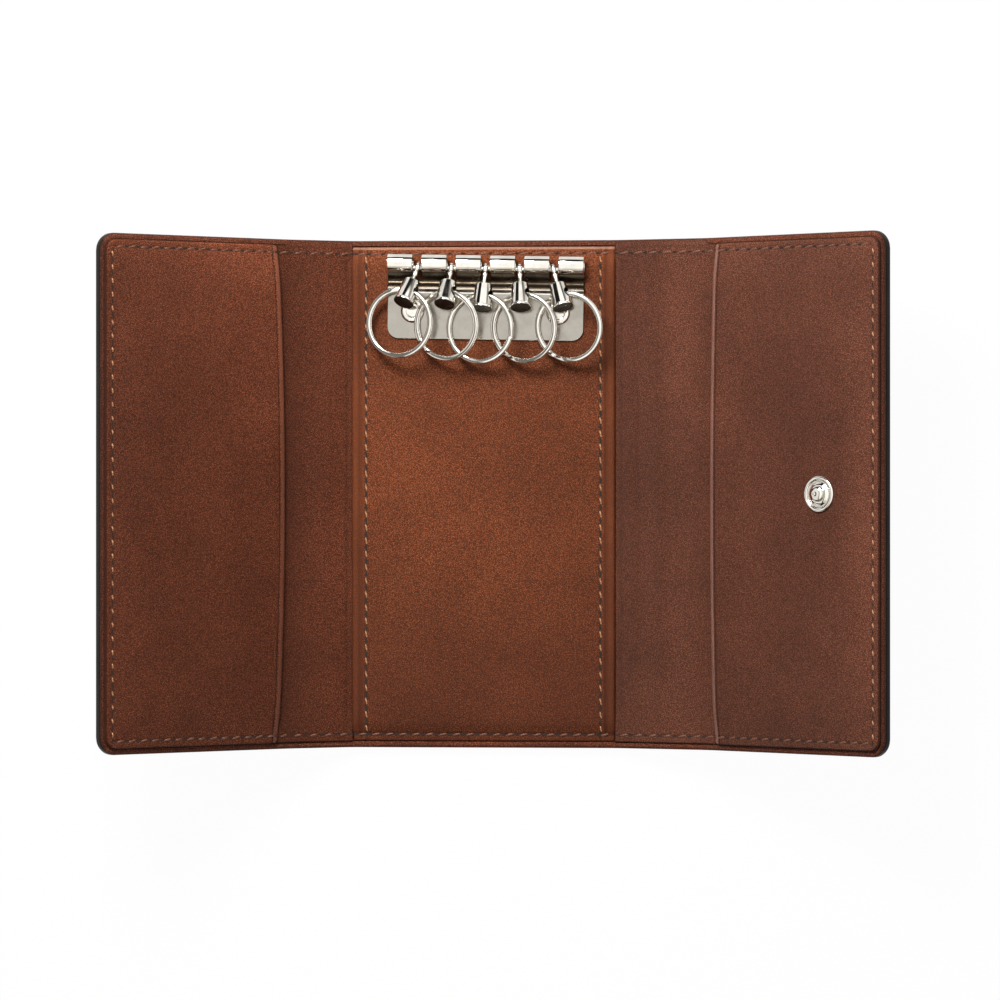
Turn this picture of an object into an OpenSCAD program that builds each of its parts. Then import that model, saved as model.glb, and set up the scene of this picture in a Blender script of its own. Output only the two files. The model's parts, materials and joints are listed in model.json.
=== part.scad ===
// Three-fold leather key case, lying open on its back with both wings leaning up.
// The origin is the middle of the flat back of the centre section.
// +X points right, +Y points up the case to the hook rail, +Z points away from the table.

/* [Case] */
// Height of the case, along its folds
case_h = 110; // [95:1:130]
// Width of the centre section, between its two folds
centre_w = 57.3; // [53:0.1:70]
// Width of the left side, from its inner fold to its outer fold
left_side_w = 15; // [12:0.1:18]
// Width of the right side, from its inner fold to its outer fold
right_side_w = 21; // [18:0.1:26]
// Width of each flap, from its fold to its outer edge
flap_w = 47.7; // [42:0.1:52]
// Radius of the outer corners
corner_r = 3.8; // [2.5:0.1:8]
// Margin of the cover that shows round the linings and panels
edge_margin = 1.4; // [1:0.1:2]

/* [Leather] */
// Thickness of the outer cover
cover_t = 1.7; // [1.5:0.05:2]
// Thickness of the side and flap linings
lining_t = 0.9; // [0.6:0.05:1.1]
// Thickness of the pocket panels
pocket_t = 0.9; // [0.8:0.05:1.2]
// Open height inside a pocket
pocket_gap = 0.3; // [0.2:0.05:0.5]
// Width of the seam allowance that closes a pocket on three sides
pocket_rim_w = 2.6; // [2:0.1:3.5]
// Distance of the left pocket mouth from its fold, at mid height
left_mouth_inset = 1.3; // [1.3:0.1:3]
// How far the left pocket mouth bows toward its fold
left_mouth_bow = 1.6; // [0.4:0.1:3]
// Distance of the right pocket mouth from its fold, at mid height
right_mouth_inset = 1.5; // [1.3:0.1:3]
// How far the right pocket mouth bows toward its fold
right_mouth_bow = 1.0; // [0.4:0.1:3]

/* [Centre panel] */
// Thickness of the stiffener board under the hook panel
board_t = 0.6; // [0.4:0.05:0.8]
// Thickness of the hook panel over the board
panel_t = 1.2; // [1:0.05:1.3]
// Radius of the rounded long edges of the hook panel
panel_bead_r = 1; // [0.6:0.05:1.2]
// Distance of the board from the edges of the hook panel
board_inset = 4.5; // [4:0.1:8]

/* [Folds] */
// Running gap between a fold roll and the panel that turns round it
fold_gap = 0.3; // [0.2:0.05:0.5]
// How much further from the fold the linings start than the cover
lining_setback = 0.2; // [0.1:0.05:0.6]
// Angle of the left side above the table
left_side_tilt = 29; // [0:1:60]
// Angle of the left flap above the left side
left_flap_bend = 11.5; // [0:0.5:60]
// Angle of the right side above the table
right_side_tilt = 18; // [0:1:60]
// Angle of the right flap above the right side
right_flap_bend = 19; // [0:0.5:60]

/* [Stitching] */
// Spacing of the stitches along the sides
stitch_pitch = 2.75; // [2:0.05:4]
// Spacing of the stitches along the top and bottom of the hook panel
panel_stitch_pitch = 2.45; // [2:0.05:4]
// Share of the spacing that a stitch fills
stitch_share = 0.68; // [0.4:0.02:0.8]
// Width of the thread
thread_w = 0.5; // [0.3:0.05:0.8]
// Height of a stitch above the leather
thread_h = 0.3; // [0.15:0.05:0.5]
// Distance of the stitching from the outer edges of the case
stitch_inset = 2.9; // [2.4:0.1:3.4]
// Distance of the upright rows on the hook panel from its long edges
panel_stitch_inset = 3.2; // [2.5:0.1:3.6]

/* [Snap] */
// Distance of the stud from the right flap's fold
snap_reach = 31.8; // [26:0.1:34]
// Diameter of the stud's flange
stud_flange_d = 7.7; // [7:0.1:8.4]
// Thickness of the stud's flange
stud_flange_t = 0.5; // [0.4:0.05:0.6]
// Diameter of the stud's knob
stud_knob_d = 3.5; // [3:0.1:4]
// Height of the stud above the pocket panel
stud_h = 1.7; // [1.5:0.1:2]
// Diameter of the stud's neck under the knob
stud_neck_d = 2.7; // [2.4:0.1:2.9]
// Diameter of the socket ring on the left flap
socket_d = 9; // [8:0.1:10]
// Height of the socket ring above the leather
socket_h = 1.1; // [0.9:0.05:1.3]
// Diameter of the hole in the socket
socket_hole_d = 4.2; // [4.1:0.05:4.6]
// Wall of the socket's barrel through the leather
socket_wall = 0.5; // [0.4:0.05:0.7]
// Thickness of the hidden cap and post plates
hidden_plate_t = 0.4; // [0.3:0.05:0.45]
// Clearance of a plate in its seat
plate_clearance = 0.1; // [0.05:0.01:0.2]

/* [Hook rail] */
// Number of hooks on the rail
hook_count = 5; // [5]
// Width of one rolled knuckle
knuckle_w = 5.47; // [5.2:0.01:5.8]
// Gap between two knuckles
hook_gap = 1.95; // [1.92:0.01:2.1]
// Outer diameter of the knuckles
knuckle_d = 4; // [3.8:0.05:4.3]
// Thickness of the rail's sheet
sheet_t = 0.5; // [0.4:0.05:0.6]
// Distance of the knuckles' axis from the top edge of the case
rail_drop = 5.35; // [5.1:0.05:8]
// Shift of the rail from the middle of the case
rail_shift = 0.7; // [-1:0.1:1]
// Turn of the rail, clockwise
rail_turn = 1; // [-2:0.25:2]
// Distance from the knuckles' axis to the rail's lower edge
rail_reach = 16.25; // [15.5:0.05:18]
// Distance from the knuckles' axis to the step in the rail
step_reach = 5.65; // [5:0.05:6.4]
// Rise of the sheet at the step
step_rise = 0.8; // [0.6:0.05:0.9]
// Distance from the knuckles' axis to the lower end of a hook slot
slot_reach = 3.2; // [3:0.05:3.6]
// Radius of the rail's lower corners
rail_corner_r = 2.5; // [1.5:0.1:4]
// Distance of each rivet from the middle of the rail
rivet_spacing = 15.8; // [14:0.1:17]
// Distance from the knuckles' axis to the rivets
rivet_reach = 10.25; // [9.4:0.05:12]
// Diameter of the rivet heads
rivet_head_d = 5.2; // [4.6:0.1:5.6]
// Height of the rivet heads
rivet_head_h = 0.55; // [0.4:0.05:0.6]
// Diameter of the rivet shanks
rivet_shank_d = 2.6; // [2.2:0.1:3]
// Diameter of the rivet washers
washer_d = 6; // [5.5:0.1:7]
// Diameter of the hinge bar
bar_d = 1; // [0.9:0.02:1.1]
// Clearance of the bar in the knuckles
bar_clearance = 0.05; // [0.04:0.01:0.1]

/* [Hooks] */
// Distance from the bar's axis to the top of a barrel
barrel_reach = 3.8; // [3.7:0.05:4.2]
// Length of a barrel
barrel_l = 5.5; // [5.3:0.05:5.8]
// Diameter of a barrel at its top
barrel_top_d = 3.7; // [3.5:0.05:3.9]
// Diameter of a barrel at its flared end
barrel_end_d = 4.5; // [4.2:0.05:4.6]
// Distance from a barrel's top to the axis of its cross bore
bore_drop = 2.5; // [2.4:0.05:2.8]
// Diameter of the cross bore
bore_d = 2.4; // [2.4:0.02:2.5]
// Diameter of a hook's stem
stem_d = 1; // [0.8:0.05:1.1]
// Diameter of the head that holds a barrel on its stem
head_d = 2.1; // [1.9:0.05:2.2]
// Thickness of that head
head_t = 0.4; // [0.3:0.02:0.42]
// Wall of the barrel above the head
barrel_wall = 0.5; // [0.4:0.02:0.55]
// Clearance of the stem and its head in the barrel
swivel_clearance = 0.12; // [0.08:0.01:0.15]
// Diameter of the wire that forms a hook's eyelet
eyelet_wire_d = 0.7; // [0.6:0.02:0.75]
// Clear diameter of an eyelet
eyelet_hole_d = 1.4; // [1.36:0.02:1.5]

/* [Key rings] */
// Outer diameter of a key ring
ring_d = 15.3; // [15:0.05:15.4]
// Width of a ring's flattened wire, across the ring
ring_w = 1; // [0.8:0.02:1.04]
// Height of both coils of a ring together
ring_t = 1.2; // [1:0.02:1.24]
// Depth of the groove between the two coils
ring_groove = 0.16; // [0.1:0.02:0.2]

/* [Hidden] */
$fn = 48;
overrun = 0.5;
roll_fn = 64;
arc_steps = 10;
stitch_steps = 4;
mouth_steps = 16;

// How each hook lies, from left to right: its slide in its gap as a share of the gap,
// then in degrees its lean to the left, the lift of its barrel, the turn of its cross bore,
// the droop of its ring from the barrel, and the ring's slack in the bore.
hook_slide_share = [0.05, 0, 0, 0, -0.05];
hook_lean = [18, 7, 3, -4, -16];
hook_lift = [28.5, 29.5, 18.5, 24, 21.5];
bore_turn = [20, 26, 17, 22, 19];
ring_droop = [30.5, 32.5, 19, 26, 23];
ring_slack = -7;

panel_h = case_h - 2 * edge_margin;
panel_top = cover_t + board_t + panel_t;
roll_reach = cover_t + fold_gap;
lining_start = roll_reach + lining_setback;
pocket_floor = lining_t + pocket_gap;
pocket_top = pocket_floor + pocket_t;
panel_corner_r = corner_r - edge_margin;
mouth_corner_r = panel_corner_r * 0.5;

socket_reach = centre_w - snap_reach;
socket_barrel_d = socket_hole_d + 2 * socket_wall;
socket_floor = cover_t - hidden_plate_t;
post_d = stud_neck_d * 0.55;
post_plate_d = stud_flange_d * 0.65;

rail_w = (hook_count + 1) * knuckle_w + hook_count * hook_gap;
hook_pitch = knuckle_w + hook_gap;
knuckle_bore_d = knuckle_d - 2 * sheet_t;
bar_sag = (knuckle_bore_d - bar_d) / 2 - bar_clearance;
shelf_end = knuckle_d / 2 * 0.85;
rivet_hole_d = rivet_shank_d + 2 * plate_clearance;
rivet_recess_t = 2 * hidden_plate_t;

ring_inner_r = ring_d / 2 - ring_w;
barrel_bore_r = barrel_top_d / 2 + (barrel_end_d - barrel_top_d) / 2 * bore_drop / barrel_l;
ring_seat = (ring_d / 2 + sqrt(pow(ring_inner_r, 2) - pow(barrel_bore_r, 2))) / 2;
eyelet_r = (eyelet_hole_d + eyelet_wire_d) / 2;

// Frames: each puts its children where that part of the case lies.
// In a wing's frame +X runs from the fold to the outer edge, and +Z is the inner face.

module left_side_frame() {
    translate([-centre_w / 2, 0, cover_t]) mirror([1, 0, 0])
        rotate([0, -left_side_tilt, 0]) children();
}

module left_flap_frame() {
    left_side_frame() translate([left_side_w, 0, 0])
        rotate([0, -left_flap_bend, 0]) children();
}

module right_side_frame() {
    translate([centre_w / 2, 0, cover_t]) rotate([0, -right_side_tilt, 0]) children();
}

module right_flap_frame() {
    right_side_frame() translate([right_side_w, 0, 0])
        rotate([0, -right_flap_bend, 0]) children();
}

// The rail's frame starts on the panel, under the axis of the knuckles.
module rail_frame() {
    translate([rail_shift, case_h / 2 - rail_drop, panel_top])
        rotate([0, 0, -rail_turn]) children();
}

// A hook's frame starts on the bar's axis. The barrel hangs along its -Y.
module hook_frame(i) {
    along = (i - (hook_count - 1) / 2) * hook_pitch + hook_slide_share[i] * hook_gap;
    rail_frame() translate([along, -bar_sag, knuckle_d / 2])
        rotate([-hook_lift[i], 0, -hook_lean[i]]) children();
}

// The ring's frame has the ring's centre as its origin and the ring's axis as its Z.
module ring_frame(i) {
    hook_frame(i) translate([0, -barrel_reach - bore_drop, 0])
        rotate([0, -bore_turn[i], 0]) rotate([ring_droop[i], 0, 0])
            rotate([0, 0, ring_slack]) translate([0, -ring_seat, 0]) children();
}

// Shapes that more than one piece uses.

// A flat outline from x0 to x1 whose two outer corners are rounded.
module flap_outline(x0, x1, h, r) {
    translate([x0, -h / 2]) square([x1 - r - x0, h]);
    translate([x0, -h / 2 + r]) square([x1 - x0, h - 2 * r]);
    for (side = [-1, 1])
        translate([x1 - r, side * (h / 2 - r)]) circle(r);
}

// The same outline with its inner edge cut to a bow toward the fold.
module pocket_outline(mouth, bow, x1, h, r) {
    start = mouth + bow;
    corner_x = start + mouth_corner_r;
    flap_outline(corner_x, x1, h, r);
    bow_points = [for (k = [0 : mouth_steps])
        let (y = -h / 2 + mouth_corner_r + (h - 2 * mouth_corner_r) * k / mouth_steps)
        [mouth + bow * pow(2 * y / h, 2), y]];
    polygon(concat(bow_points, [
        [corner_x, h / 2 - mouth_corner_r], [corner_x, -h / 2 + mouth_corner_r]
    ]));
    for (side = [-1, 1])
        translate([corner_x, side * (h / 2 - mouth_corner_r)]) circle(mouth_corner_r);
}

// The lower half of a rolled fold, along Y, with its axis in the inner face.
module fold_roll() {
    difference() {
        rotate([90, 0, 0]) cylinder(h = case_h, r = cover_t, center = true, $fn = roll_fn);
        translate([-cover_t - overrun, -case_h / 2 - overrun, 0])
            cube([2 * (cover_t + overrun), case_h + 2 * overrun, cover_t + overrun]);
    }
}

// The cover of a side: a plate from the roll of its inner fold to its own roll.
module side_cover(w) {
    translate([roll_reach, -case_h / 2, -cover_t]) cube([w - roll_reach, case_h, cover_t]);
    translate([w, 0, 0]) fold_roll();
}

module side_lining(w) {
    translate([lining_start, -panel_h / 2, 0]) cube([w - lining_start, panel_h, lining_t]);
}

module flap_cover() {
    translate([0, 0, -cover_t]) linear_extrude(cover_t)
        flap_outline(roll_reach, flap_w, case_h, corner_r);
}

module flap_lining() {
    linear_extrude(lining_t)
        flap_outline(lining_start, flap_w - edge_margin, panel_h, panel_corner_r);
}

// A pocket panel, with the seam allowance under it on its three sewn sides.
module pocket(mouth, bow) {
    x1 = flap_w - edge_margin;
    translate([0, 0, pocket_floor]) linear_extrude(pocket_t)
        pocket_outline(mouth, bow, x1, panel_h, panel_corner_r);
    translate([0, 0, lining_t]) linear_extrude(pocket_gap) difference() {
        flap_outline(lining_start + left_mouth_bow + right_mouth_bow, x1, panel_h, panel_corner_r);
        translate([0, -panel_h / 2 + pocket_rim_w])
            square([x1 - pocket_rim_w, panel_h - 2 * pocket_rim_w]);
    }
}

// One stitch along X, an arch of thread that lies on the leather.
module stitch(pitch) {
    arch = [for (k = [0 : stitch_steps])
        let (a = 180 * k / stitch_steps) [thread_w / 2 * cos(a), thread_h * sin(a)]];
    rotate([90, 0, 90]) linear_extrude(pitch * stitch_share, center = true) polygon(arch);
}

// A row of stitches along X, evenly spaced near the given pitch.
module stitch_row(x0, x1, pitch) {
    count = floor((x1 - x0) / pitch);
    step = (x1 - x0) / count;
    for (k = [0 : count - 1])
        translate([x0 + (k + 0.5) * step, 0, 0]) stitch(pitch);
}

// The same, but along Y.
module stitch_column(y0, y1, pitch) {
    rotate([0, 0, 90]) stitch_row(y0, y1, pitch);
}

module side_stitching(w) {
    for (side = [-1, 1])
        translate([0, side * (case_h / 2 - stitch_inset), lining_t])
            stitch_row(lining_start, w, stitch_pitch);
}

module flap_stitching(mouth, bow) {
    edge_x = flap_w - stitch_inset;
    row_y = case_h / 2 - stitch_inset;
    translate([0, 0, pocket_top]) {
        translate([edge_x, 0, 0]) stitch_column(-row_y, row_y, stitch_pitch);
        for (side = [-1, 1])
            translate([0, side * row_y, 0])
                stitch_row(mouth + bow + stitch_pitch / 2, edge_x - thread_w, stitch_pitch);
    }
}

// Outer cover, one hide in five stiff zones with a roll at each fold

module outer_cover_centre() color("#2b1a14") difference() {
    union() {
        translate([-centre_w / 2, -case_h / 2, 0]) cube([centre_w, case_h, cover_t]);
        for (side = [-1, 1])
            translate([side * centre_w / 2, 0, cover_t]) fold_roll();
    }
    rail_frame() for (side = [-1, 1])
        translate([side * rivet_spacing, -rivet_reach, cover_t - panel_top - rivet_recess_t])
            cylinder(h = rivet_recess_t + overrun, d = washer_d + 2 * plate_clearance);
}

module outer_cover_left_side() color("#2b1a14") left_side_frame() side_cover(left_side_w);

module outer_cover_left_flap() color("#2b1a14") left_flap_frame() difference() {
    flap_cover();
    translate([socket_reach, 0, -cover_t - overrun])
        cylinder(h = cover_t + 2 * overrun, d = socket_barrel_d + 2 * plate_clearance);
    translate([socket_reach, 0, -hidden_plate_t - plate_clearance])
        cylinder(h = hidden_plate_t + plate_clearance + overrun, d = socket_d + 2 * plate_clearance);
}

module outer_cover_right_side() color("#2b1a14") right_side_frame() side_cover(right_side_w);

module outer_cover_right_flap() color("#2b1a14") right_flap_frame() flap_cover();

// Centre panel

module stiffener_board() color("#8a8578") difference() {
    translate([-centre_w / 2 + board_inset, -panel_h / 2 + board_inset, cover_t])
        cube([centre_w - 2 * board_inset, panel_h - 2 * board_inset, board_t]);
    rivet_holes();
}

// Holes through the panel and the board for both rivets.
module rivet_holes() {
    rail_frame() for (side = [-1, 1])
        translate([side * rivet_spacing, -rivet_reach, -panel_top])
            cylinder(h = panel_top + overrun, d = rivet_hole_d);
}

module hook_panel() color("#8a4a2c") difference() {
    half = centre_w / 2;
    straight = panel_t + board_t - panel_bead_r;
    right_bead = [for (k = [0 : arc_steps])
        let (a = 90 * k / arc_steps)
        [half - panel_bead_r * (1 - cos(a)), straight + panel_bead_r * sin(a)]];
    left_bead = [for (k = [arc_steps : -1 : 0]) [-right_bead[k][0], right_bead[k][1]]];
    translate([0, 0, cover_t]) rotate([90, 0, 0]) linear_extrude(panel_h, center = true)
        polygon(concat([[-half, 0], [half, 0]], right_bead, left_bead));
    translate([-half + board_inset, -panel_h / 2 + board_inset, cover_t - overrun])
        cube([centre_w - 2 * board_inset, panel_h - 2 * board_inset, board_t + overrun]);
    rivet_holes();
}

module hook_panel_stitching() color("#caa27a") {
    column_x = centre_w / 2 - panel_stitch_inset;
    row_y = case_h / 2 - stitch_inset;
    translate([0, 0, panel_top]) for (side = [-1, 1]) {
        translate([side * column_x, 0, 0]) stitch_column(-row_y, row_y, stitch_pitch);
        translate([0, side * row_y, 0])
            stitch_row(thread_w - column_x, column_x - thread_w, panel_stitch_pitch);
    }
}

// Left wing

module left_side_lining() color("#75402b") left_side_frame() side_lining(left_side_w);

module left_side_stitching() color("#a5714f") left_side_frame() side_stitching(left_side_w);

module left_flap_lining() color("#75402b") left_flap_frame() flap_lining();

module left_pocket() color("#6e3a28") left_flap_frame() pocket(left_mouth_inset, left_mouth_bow);

module left_flap_stitching() color("#a5714f") left_flap_frame()
    flap_stitching(left_mouth_inset, left_mouth_bow);

// Right wing

module right_side_lining() color("#75402b") right_side_frame() side_lining(right_side_w);

module right_side_stitching() color("#a5714f") right_side_frame() side_stitching(right_side_w);

module right_flap_lining() color("#75402b") right_flap_frame() flap_lining();

module right_pocket() color("#6e3a28") right_flap_frame() difference() {
    pocket(right_mouth_inset, right_mouth_bow);
    translate([snap_reach, 0, pocket_floor - overrun])
        cylinder(h = pocket_t + 2 * overrun, d = post_d + 2 * plate_clearance);
    translate([snap_reach, 0, pocket_floor - overrun])
        cylinder(h = hidden_plate_t + overrun, d = post_plate_d + 2 * plate_clearance);
}

module right_flap_stitching() color("#a5714f") right_flap_frame()
    flap_stitching(right_mouth_inset, right_mouth_bow);

// Snap

// The socket: a ring on the flap's outer face and a barrel that goes through to the cap.
module snap_socket() color("#b9b4ab") left_flap_frame() translate([socket_reach, 0, -cover_t])
    difference() {
        union() {
            translate([0, 0, -socket_h]) cylinder(h = socket_h, d = socket_d);
            translate([0, 0, -overrun]) cylinder(h = socket_floor + overrun, d = socket_barrel_d);
        }
        translate([0, 0, -socket_h - overrun])
            cylinder(h = socket_h + overrun + socket_floor + overrun, d = socket_hole_d);
    }

module snap_cap() color("#b9b4ab") left_flap_frame()
    translate([socket_reach, 0, -hidden_plate_t]) cylinder(h = hidden_plate_t, d = socket_d);

// The stud: a dished flange, a neck and a rounded knob, turned in one piece.
module snap_stud() color("#c9c5bd") right_flap_frame() translate([snap_reach, 0, pocket_top])
    rotate_extrude() {
        flange_r = stud_flange_d / 2;
        knob_r = stud_knob_d / 2;
        rim_w = stud_flange_t;
        web_t = stud_flange_t / 2;
        polygon([
            [0, 0], [flange_r, 0], [flange_r, web_t],
            [flange_r - rim_w / 2, stud_flange_t], [flange_r - rim_w, stud_flange_t],
            [flange_r - 2 * rim_w, web_t], [stud_neck_d / 2, web_t],
            [stud_neck_d / 2, stud_h - knob_r * 0.5], [knob_r, stud_h - knob_r * 0.33],
            [knob_r * 0.92, stud_h - knob_r * 0.12], [knob_r * 0.62, stud_h], [0, stud_h]
        ]);
    }

module snap_post() color("#b9b4ab") right_flap_frame()
    translate([snap_reach, 0, pocket_floor]) {
        cylinder(h = hidden_plate_t - plate_clearance, d = post_plate_d);
        cylinder(h = pocket_t, d = post_d);
    }

// Hook rail

// The stamped sheet: a riveted plate, a step up to a shelf, and six rolled knuckles.
module hook_rail() color("#c9c5bd") rail_frame() difference() {
    union() {
        translate([-rail_w / 2, -rail_reach + rail_corner_r, 0])
            cube([rail_w, rail_reach - rail_corner_r - step_reach, sheet_t]);
        translate([-rail_w / 2 + rail_corner_r, -rail_reach, 0])
            cube([rail_w - 2 * rail_corner_r, rail_corner_r, sheet_t]);
        for (side = [-1, 1])
            translate([side * (rail_w / 2 - rail_corner_r), -rail_reach + rail_corner_r, 0])
                cylinder(h = sheet_t, r = rail_corner_r);
        translate([-rail_w / 2, -step_reach - sheet_t, 0])
            cube([rail_w, sheet_t, step_rise + sheet_t]);
        translate([-rail_w / 2, -step_reach - sheet_t, step_rise])
            cube([rail_w, step_reach + sheet_t - shelf_end, sheet_t]);
        for (k = [0 : hook_count])
            translate([-rail_w / 2 + k * hook_pitch, 0, knuckle_d / 2]) rotate([0, 90, 0])
                cylinder(h = knuckle_w, d = knuckle_d);
    }
    translate([-rail_w / 2 - overrun, 0, knuckle_d / 2]) rotate([0, 90, 0])
        cylinder(h = rail_w + 2 * overrun, d = knuckle_bore_d);
    for (i = [0 : hook_count - 1])
        translate([-rail_w / 2 + knuckle_w + i * hook_pitch, -slot_reach, 0])
            cube([hook_gap, slot_reach + knuckle_d, knuckle_d + overrun]);
    for (side = [-1, 1])
        translate([side * rivet_spacing, -rivet_reach, -overrun])
            cylinder(h = sheet_t + 2 * overrun, d = rivet_hole_d);
}

module hinge_bar() color("#a9a59d") rail_frame()
    translate([0, -bar_sag, knuckle_d / 2]) rotate([0, 90, 0])
        cylinder(h = rail_w, d = bar_d, center = true);

// Tubular rivets: a dished head on the plate, a shank, and a flange under the washer.
module rail_rivets() color("#b9b4ab") rail_frame() for (side = [-1, 1])
    translate([side * rivet_spacing, -rivet_reach, 0]) rotate_extrude() {
        head_r = rivet_head_d / 2;
        shank_r = rivet_shank_d / 2;
        washer_z = cover_t - panel_top - hidden_plate_t;
        foot_z = washer_z - hidden_plate_t / 2;
        head_z = sheet_t + rivet_head_h;
        polygon([
            [0, foot_z], [shank_r * 1.4, foot_z], [shank_r * 1.4, washer_z],
            [shank_r, washer_z], [shank_r, sheet_t], [head_r, sheet_t],
            [head_r, sheet_t + rivet_head_h / 2], [head_r * 0.85, head_z],
            [head_r * 0.62, head_z], [head_r * 0.45, head_z - rivet_head_h / 2],
            [0, head_z - rivet_head_h / 2]
        ]);
    }

module rivet_washers() color("#a9a59d") rail_frame() for (side = [-1, 1])
    translate([side * rivet_spacing, -rivet_reach, cover_t - panel_top - hidden_plate_t])
        difference() {
            cylinder(h = hidden_plate_t, d = washer_d);
            translate([0, 0, -overrun])
                cylinder(h = hidden_plate_t + 2 * overrun, d = rivet_hole_d);
        }

// Hooks, barrels and rings, numbered from left to right

// A wire eyelet round the bar, a stem, and the head that the barrel hangs on.
module hook(i) color("#c9c5bd") hook_frame(i) {
    rotate([0, 90, 0]) rotate_extrude() translate([eyelet_r, 0]) circle(d = eyelet_wire_d);
    translate([0, -eyelet_r, 0]) rotate([90, 0, 0])
        cylinder(h = barrel_reach + barrel_wall + swivel_clearance + head_t - eyelet_r, d = stem_d);
    translate([0, -barrel_reach - barrel_wall - swivel_clearance, 0]) rotate([90, 0, 0])
        cylinder(h = head_t, d = head_d);
}

// A flared barrel, hollow at its top for the hook's head, with a cross bore for the ring.
module barrel(i) color("#c9c5bd") hook_frame(i) difference() {
    translate([0, -barrel_reach, 0]) rotate([90, 0, 0]) rotate_extrude() {
        top_r = barrel_top_d / 2;
        end_r = barrel_end_d / 2;
        chamfer = top_r * 0.12;
        stem_r = stem_d / 2 + swivel_clearance;
        head_r = head_d / 2 + swivel_clearance;
        cavity_z = barrel_wall + head_t + 2 * swivel_clearance;
        polygon([
            [stem_r, 0], [top_r - chamfer, 0], [top_r, chamfer],
            [end_r - chamfer, barrel_l - 3 * chamfer], [end_r, barrel_l - 2 * chamfer],
            [end_r, barrel_l - chamfer / 2], [end_r - chamfer / 2, barrel_l], [0, barrel_l],
            [0, cavity_z], [head_r, cavity_z], [head_r, barrel_wall], [stem_r, barrel_wall]
        ]);
    }
    translate([0, -barrel_reach - bore_drop, 0]) rotate([0, 90 - bore_turn[i], 0])
        cylinder(h = 2 * barrel_end_d, d = bore_d, center = true);
}

// A split ring, seen as two flattened coils with a groove between them.
module key_ring(i) color("#c9c5bd") ring_frame(i) rotate_extrude($fn = 96) {
    outer = ring_d / 2;
    half = ring_t / 2;
    soft = ring_groove;
    polygon([
        [ring_inner_r, soft - half], [ring_inner_r + soft, -half], [outer - soft, -half],
        [outer, soft - half], [outer, -soft], [outer - soft, 0], [outer, soft],
        [outer, half - soft], [outer - soft, half], [ring_inner_r + soft, half],
        [ring_inner_r, half - soft], [ring_inner_r, soft], [ring_inner_r + soft, 0],
        [ring_inner_r, -soft]
    ]);
}

outer_cover_centre();
outer_cover_left_side();
outer_cover_left_flap();
outer_cover_right_side();
outer_cover_right_flap();
stiffener_board();
hook_panel();
hook_panel_stitching();
left_side_lining();
left_side_stitching();
left_flap_lining();
left_pocket();
left_flap_stitching();
right_side_lining();
right_side_stitching();
right_flap_lining();
right_pocket();
right_flap_stitching();
snap_socket();
snap_cap();
snap_stud();
snap_post();
hook_rail();
hinge_bar();
rail_rivets();
rivet_washers();
hook(0);  // hook_1
hook(1);  // hook_2
hook(2);  // hook_3
hook(3);  // hook_4
hook(4);  // hook_5
barrel(0);  // barrel_1
barrel(1);  // barrel_2
barrel(2);  // barrel_3
barrel(3);  // barrel_4
barrel(4);  // barrel_5
key_ring(0);  // key_ring_1
key_ring(1);  // key_ring_2
key_ring(2);  // key_ring_3
key_ring(3);  // key_ring_4
key_ring(4);  // key_ring_5
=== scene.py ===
"""An open three-fold leather key case, dressed over its CAD frame for a studio picture.

Shapes are worked out in millimetres and go into Blender in metres. A wing is described by
its developed surface: s runs outwards from the fold beside the centre panel, y runs up the
case, and h is the height above the inner face of the outer hide.
"""
import json
import logging
import math
from collections.abc import Callable, Sequence
from dataclasses import dataclass, field, replace
from enum import Enum

import bpy
import numpy as np
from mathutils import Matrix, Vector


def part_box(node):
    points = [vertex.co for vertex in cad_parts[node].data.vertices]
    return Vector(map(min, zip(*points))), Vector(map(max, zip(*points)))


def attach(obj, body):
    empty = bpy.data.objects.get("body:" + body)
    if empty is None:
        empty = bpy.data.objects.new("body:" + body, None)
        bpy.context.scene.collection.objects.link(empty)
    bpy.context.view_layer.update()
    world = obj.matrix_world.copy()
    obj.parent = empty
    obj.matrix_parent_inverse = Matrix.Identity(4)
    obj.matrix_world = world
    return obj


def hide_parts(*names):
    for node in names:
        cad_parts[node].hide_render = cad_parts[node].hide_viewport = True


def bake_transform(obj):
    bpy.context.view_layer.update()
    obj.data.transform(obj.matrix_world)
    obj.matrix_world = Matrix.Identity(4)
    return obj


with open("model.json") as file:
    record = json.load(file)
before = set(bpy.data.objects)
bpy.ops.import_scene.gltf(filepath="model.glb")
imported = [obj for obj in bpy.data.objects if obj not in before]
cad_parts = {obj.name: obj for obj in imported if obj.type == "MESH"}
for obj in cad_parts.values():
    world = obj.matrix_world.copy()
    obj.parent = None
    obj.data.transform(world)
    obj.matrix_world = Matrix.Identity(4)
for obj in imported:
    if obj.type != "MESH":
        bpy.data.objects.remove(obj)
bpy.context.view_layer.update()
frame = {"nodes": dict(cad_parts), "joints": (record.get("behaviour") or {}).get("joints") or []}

MM = 0.001
Array = np.ndarray
Placing = Callable[[Array, Array, Array], Array]
log = logging.getLogger("key_case")


# Small shape helpers


def smooth01(x: Array, low: float, high: float) -> Array:
    """Rises from 0 at low to 1 at high as 3t^2 - 2t^3.

    Args:
        x: Where to work it out.
        low: Where the rise starts.
        high: Where it ends.

    Returns:
        The rise at each x.
    """
    t = np.clip((x - low) / (high - low), 0.0, 1.0)
    return t * t * (3.0 - 2.0 * t)


def dent(x: Array, centre: float, half_w: float) -> Array:
    """A smooth hollow, (1 - t^2)^2 with t the distance from its centre over its half width.

    Args:
        x: Where to work it out.
        centre: The middle of the hollow.
        half_w: Half its width.

    Returns:
        1 at the centre, 0 beyond the half width.
    """
    t = np.clip(np.abs(x - centre) / half_w, 0.0, 1.0)
    return (1.0 - t * t) ** 2


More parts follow.
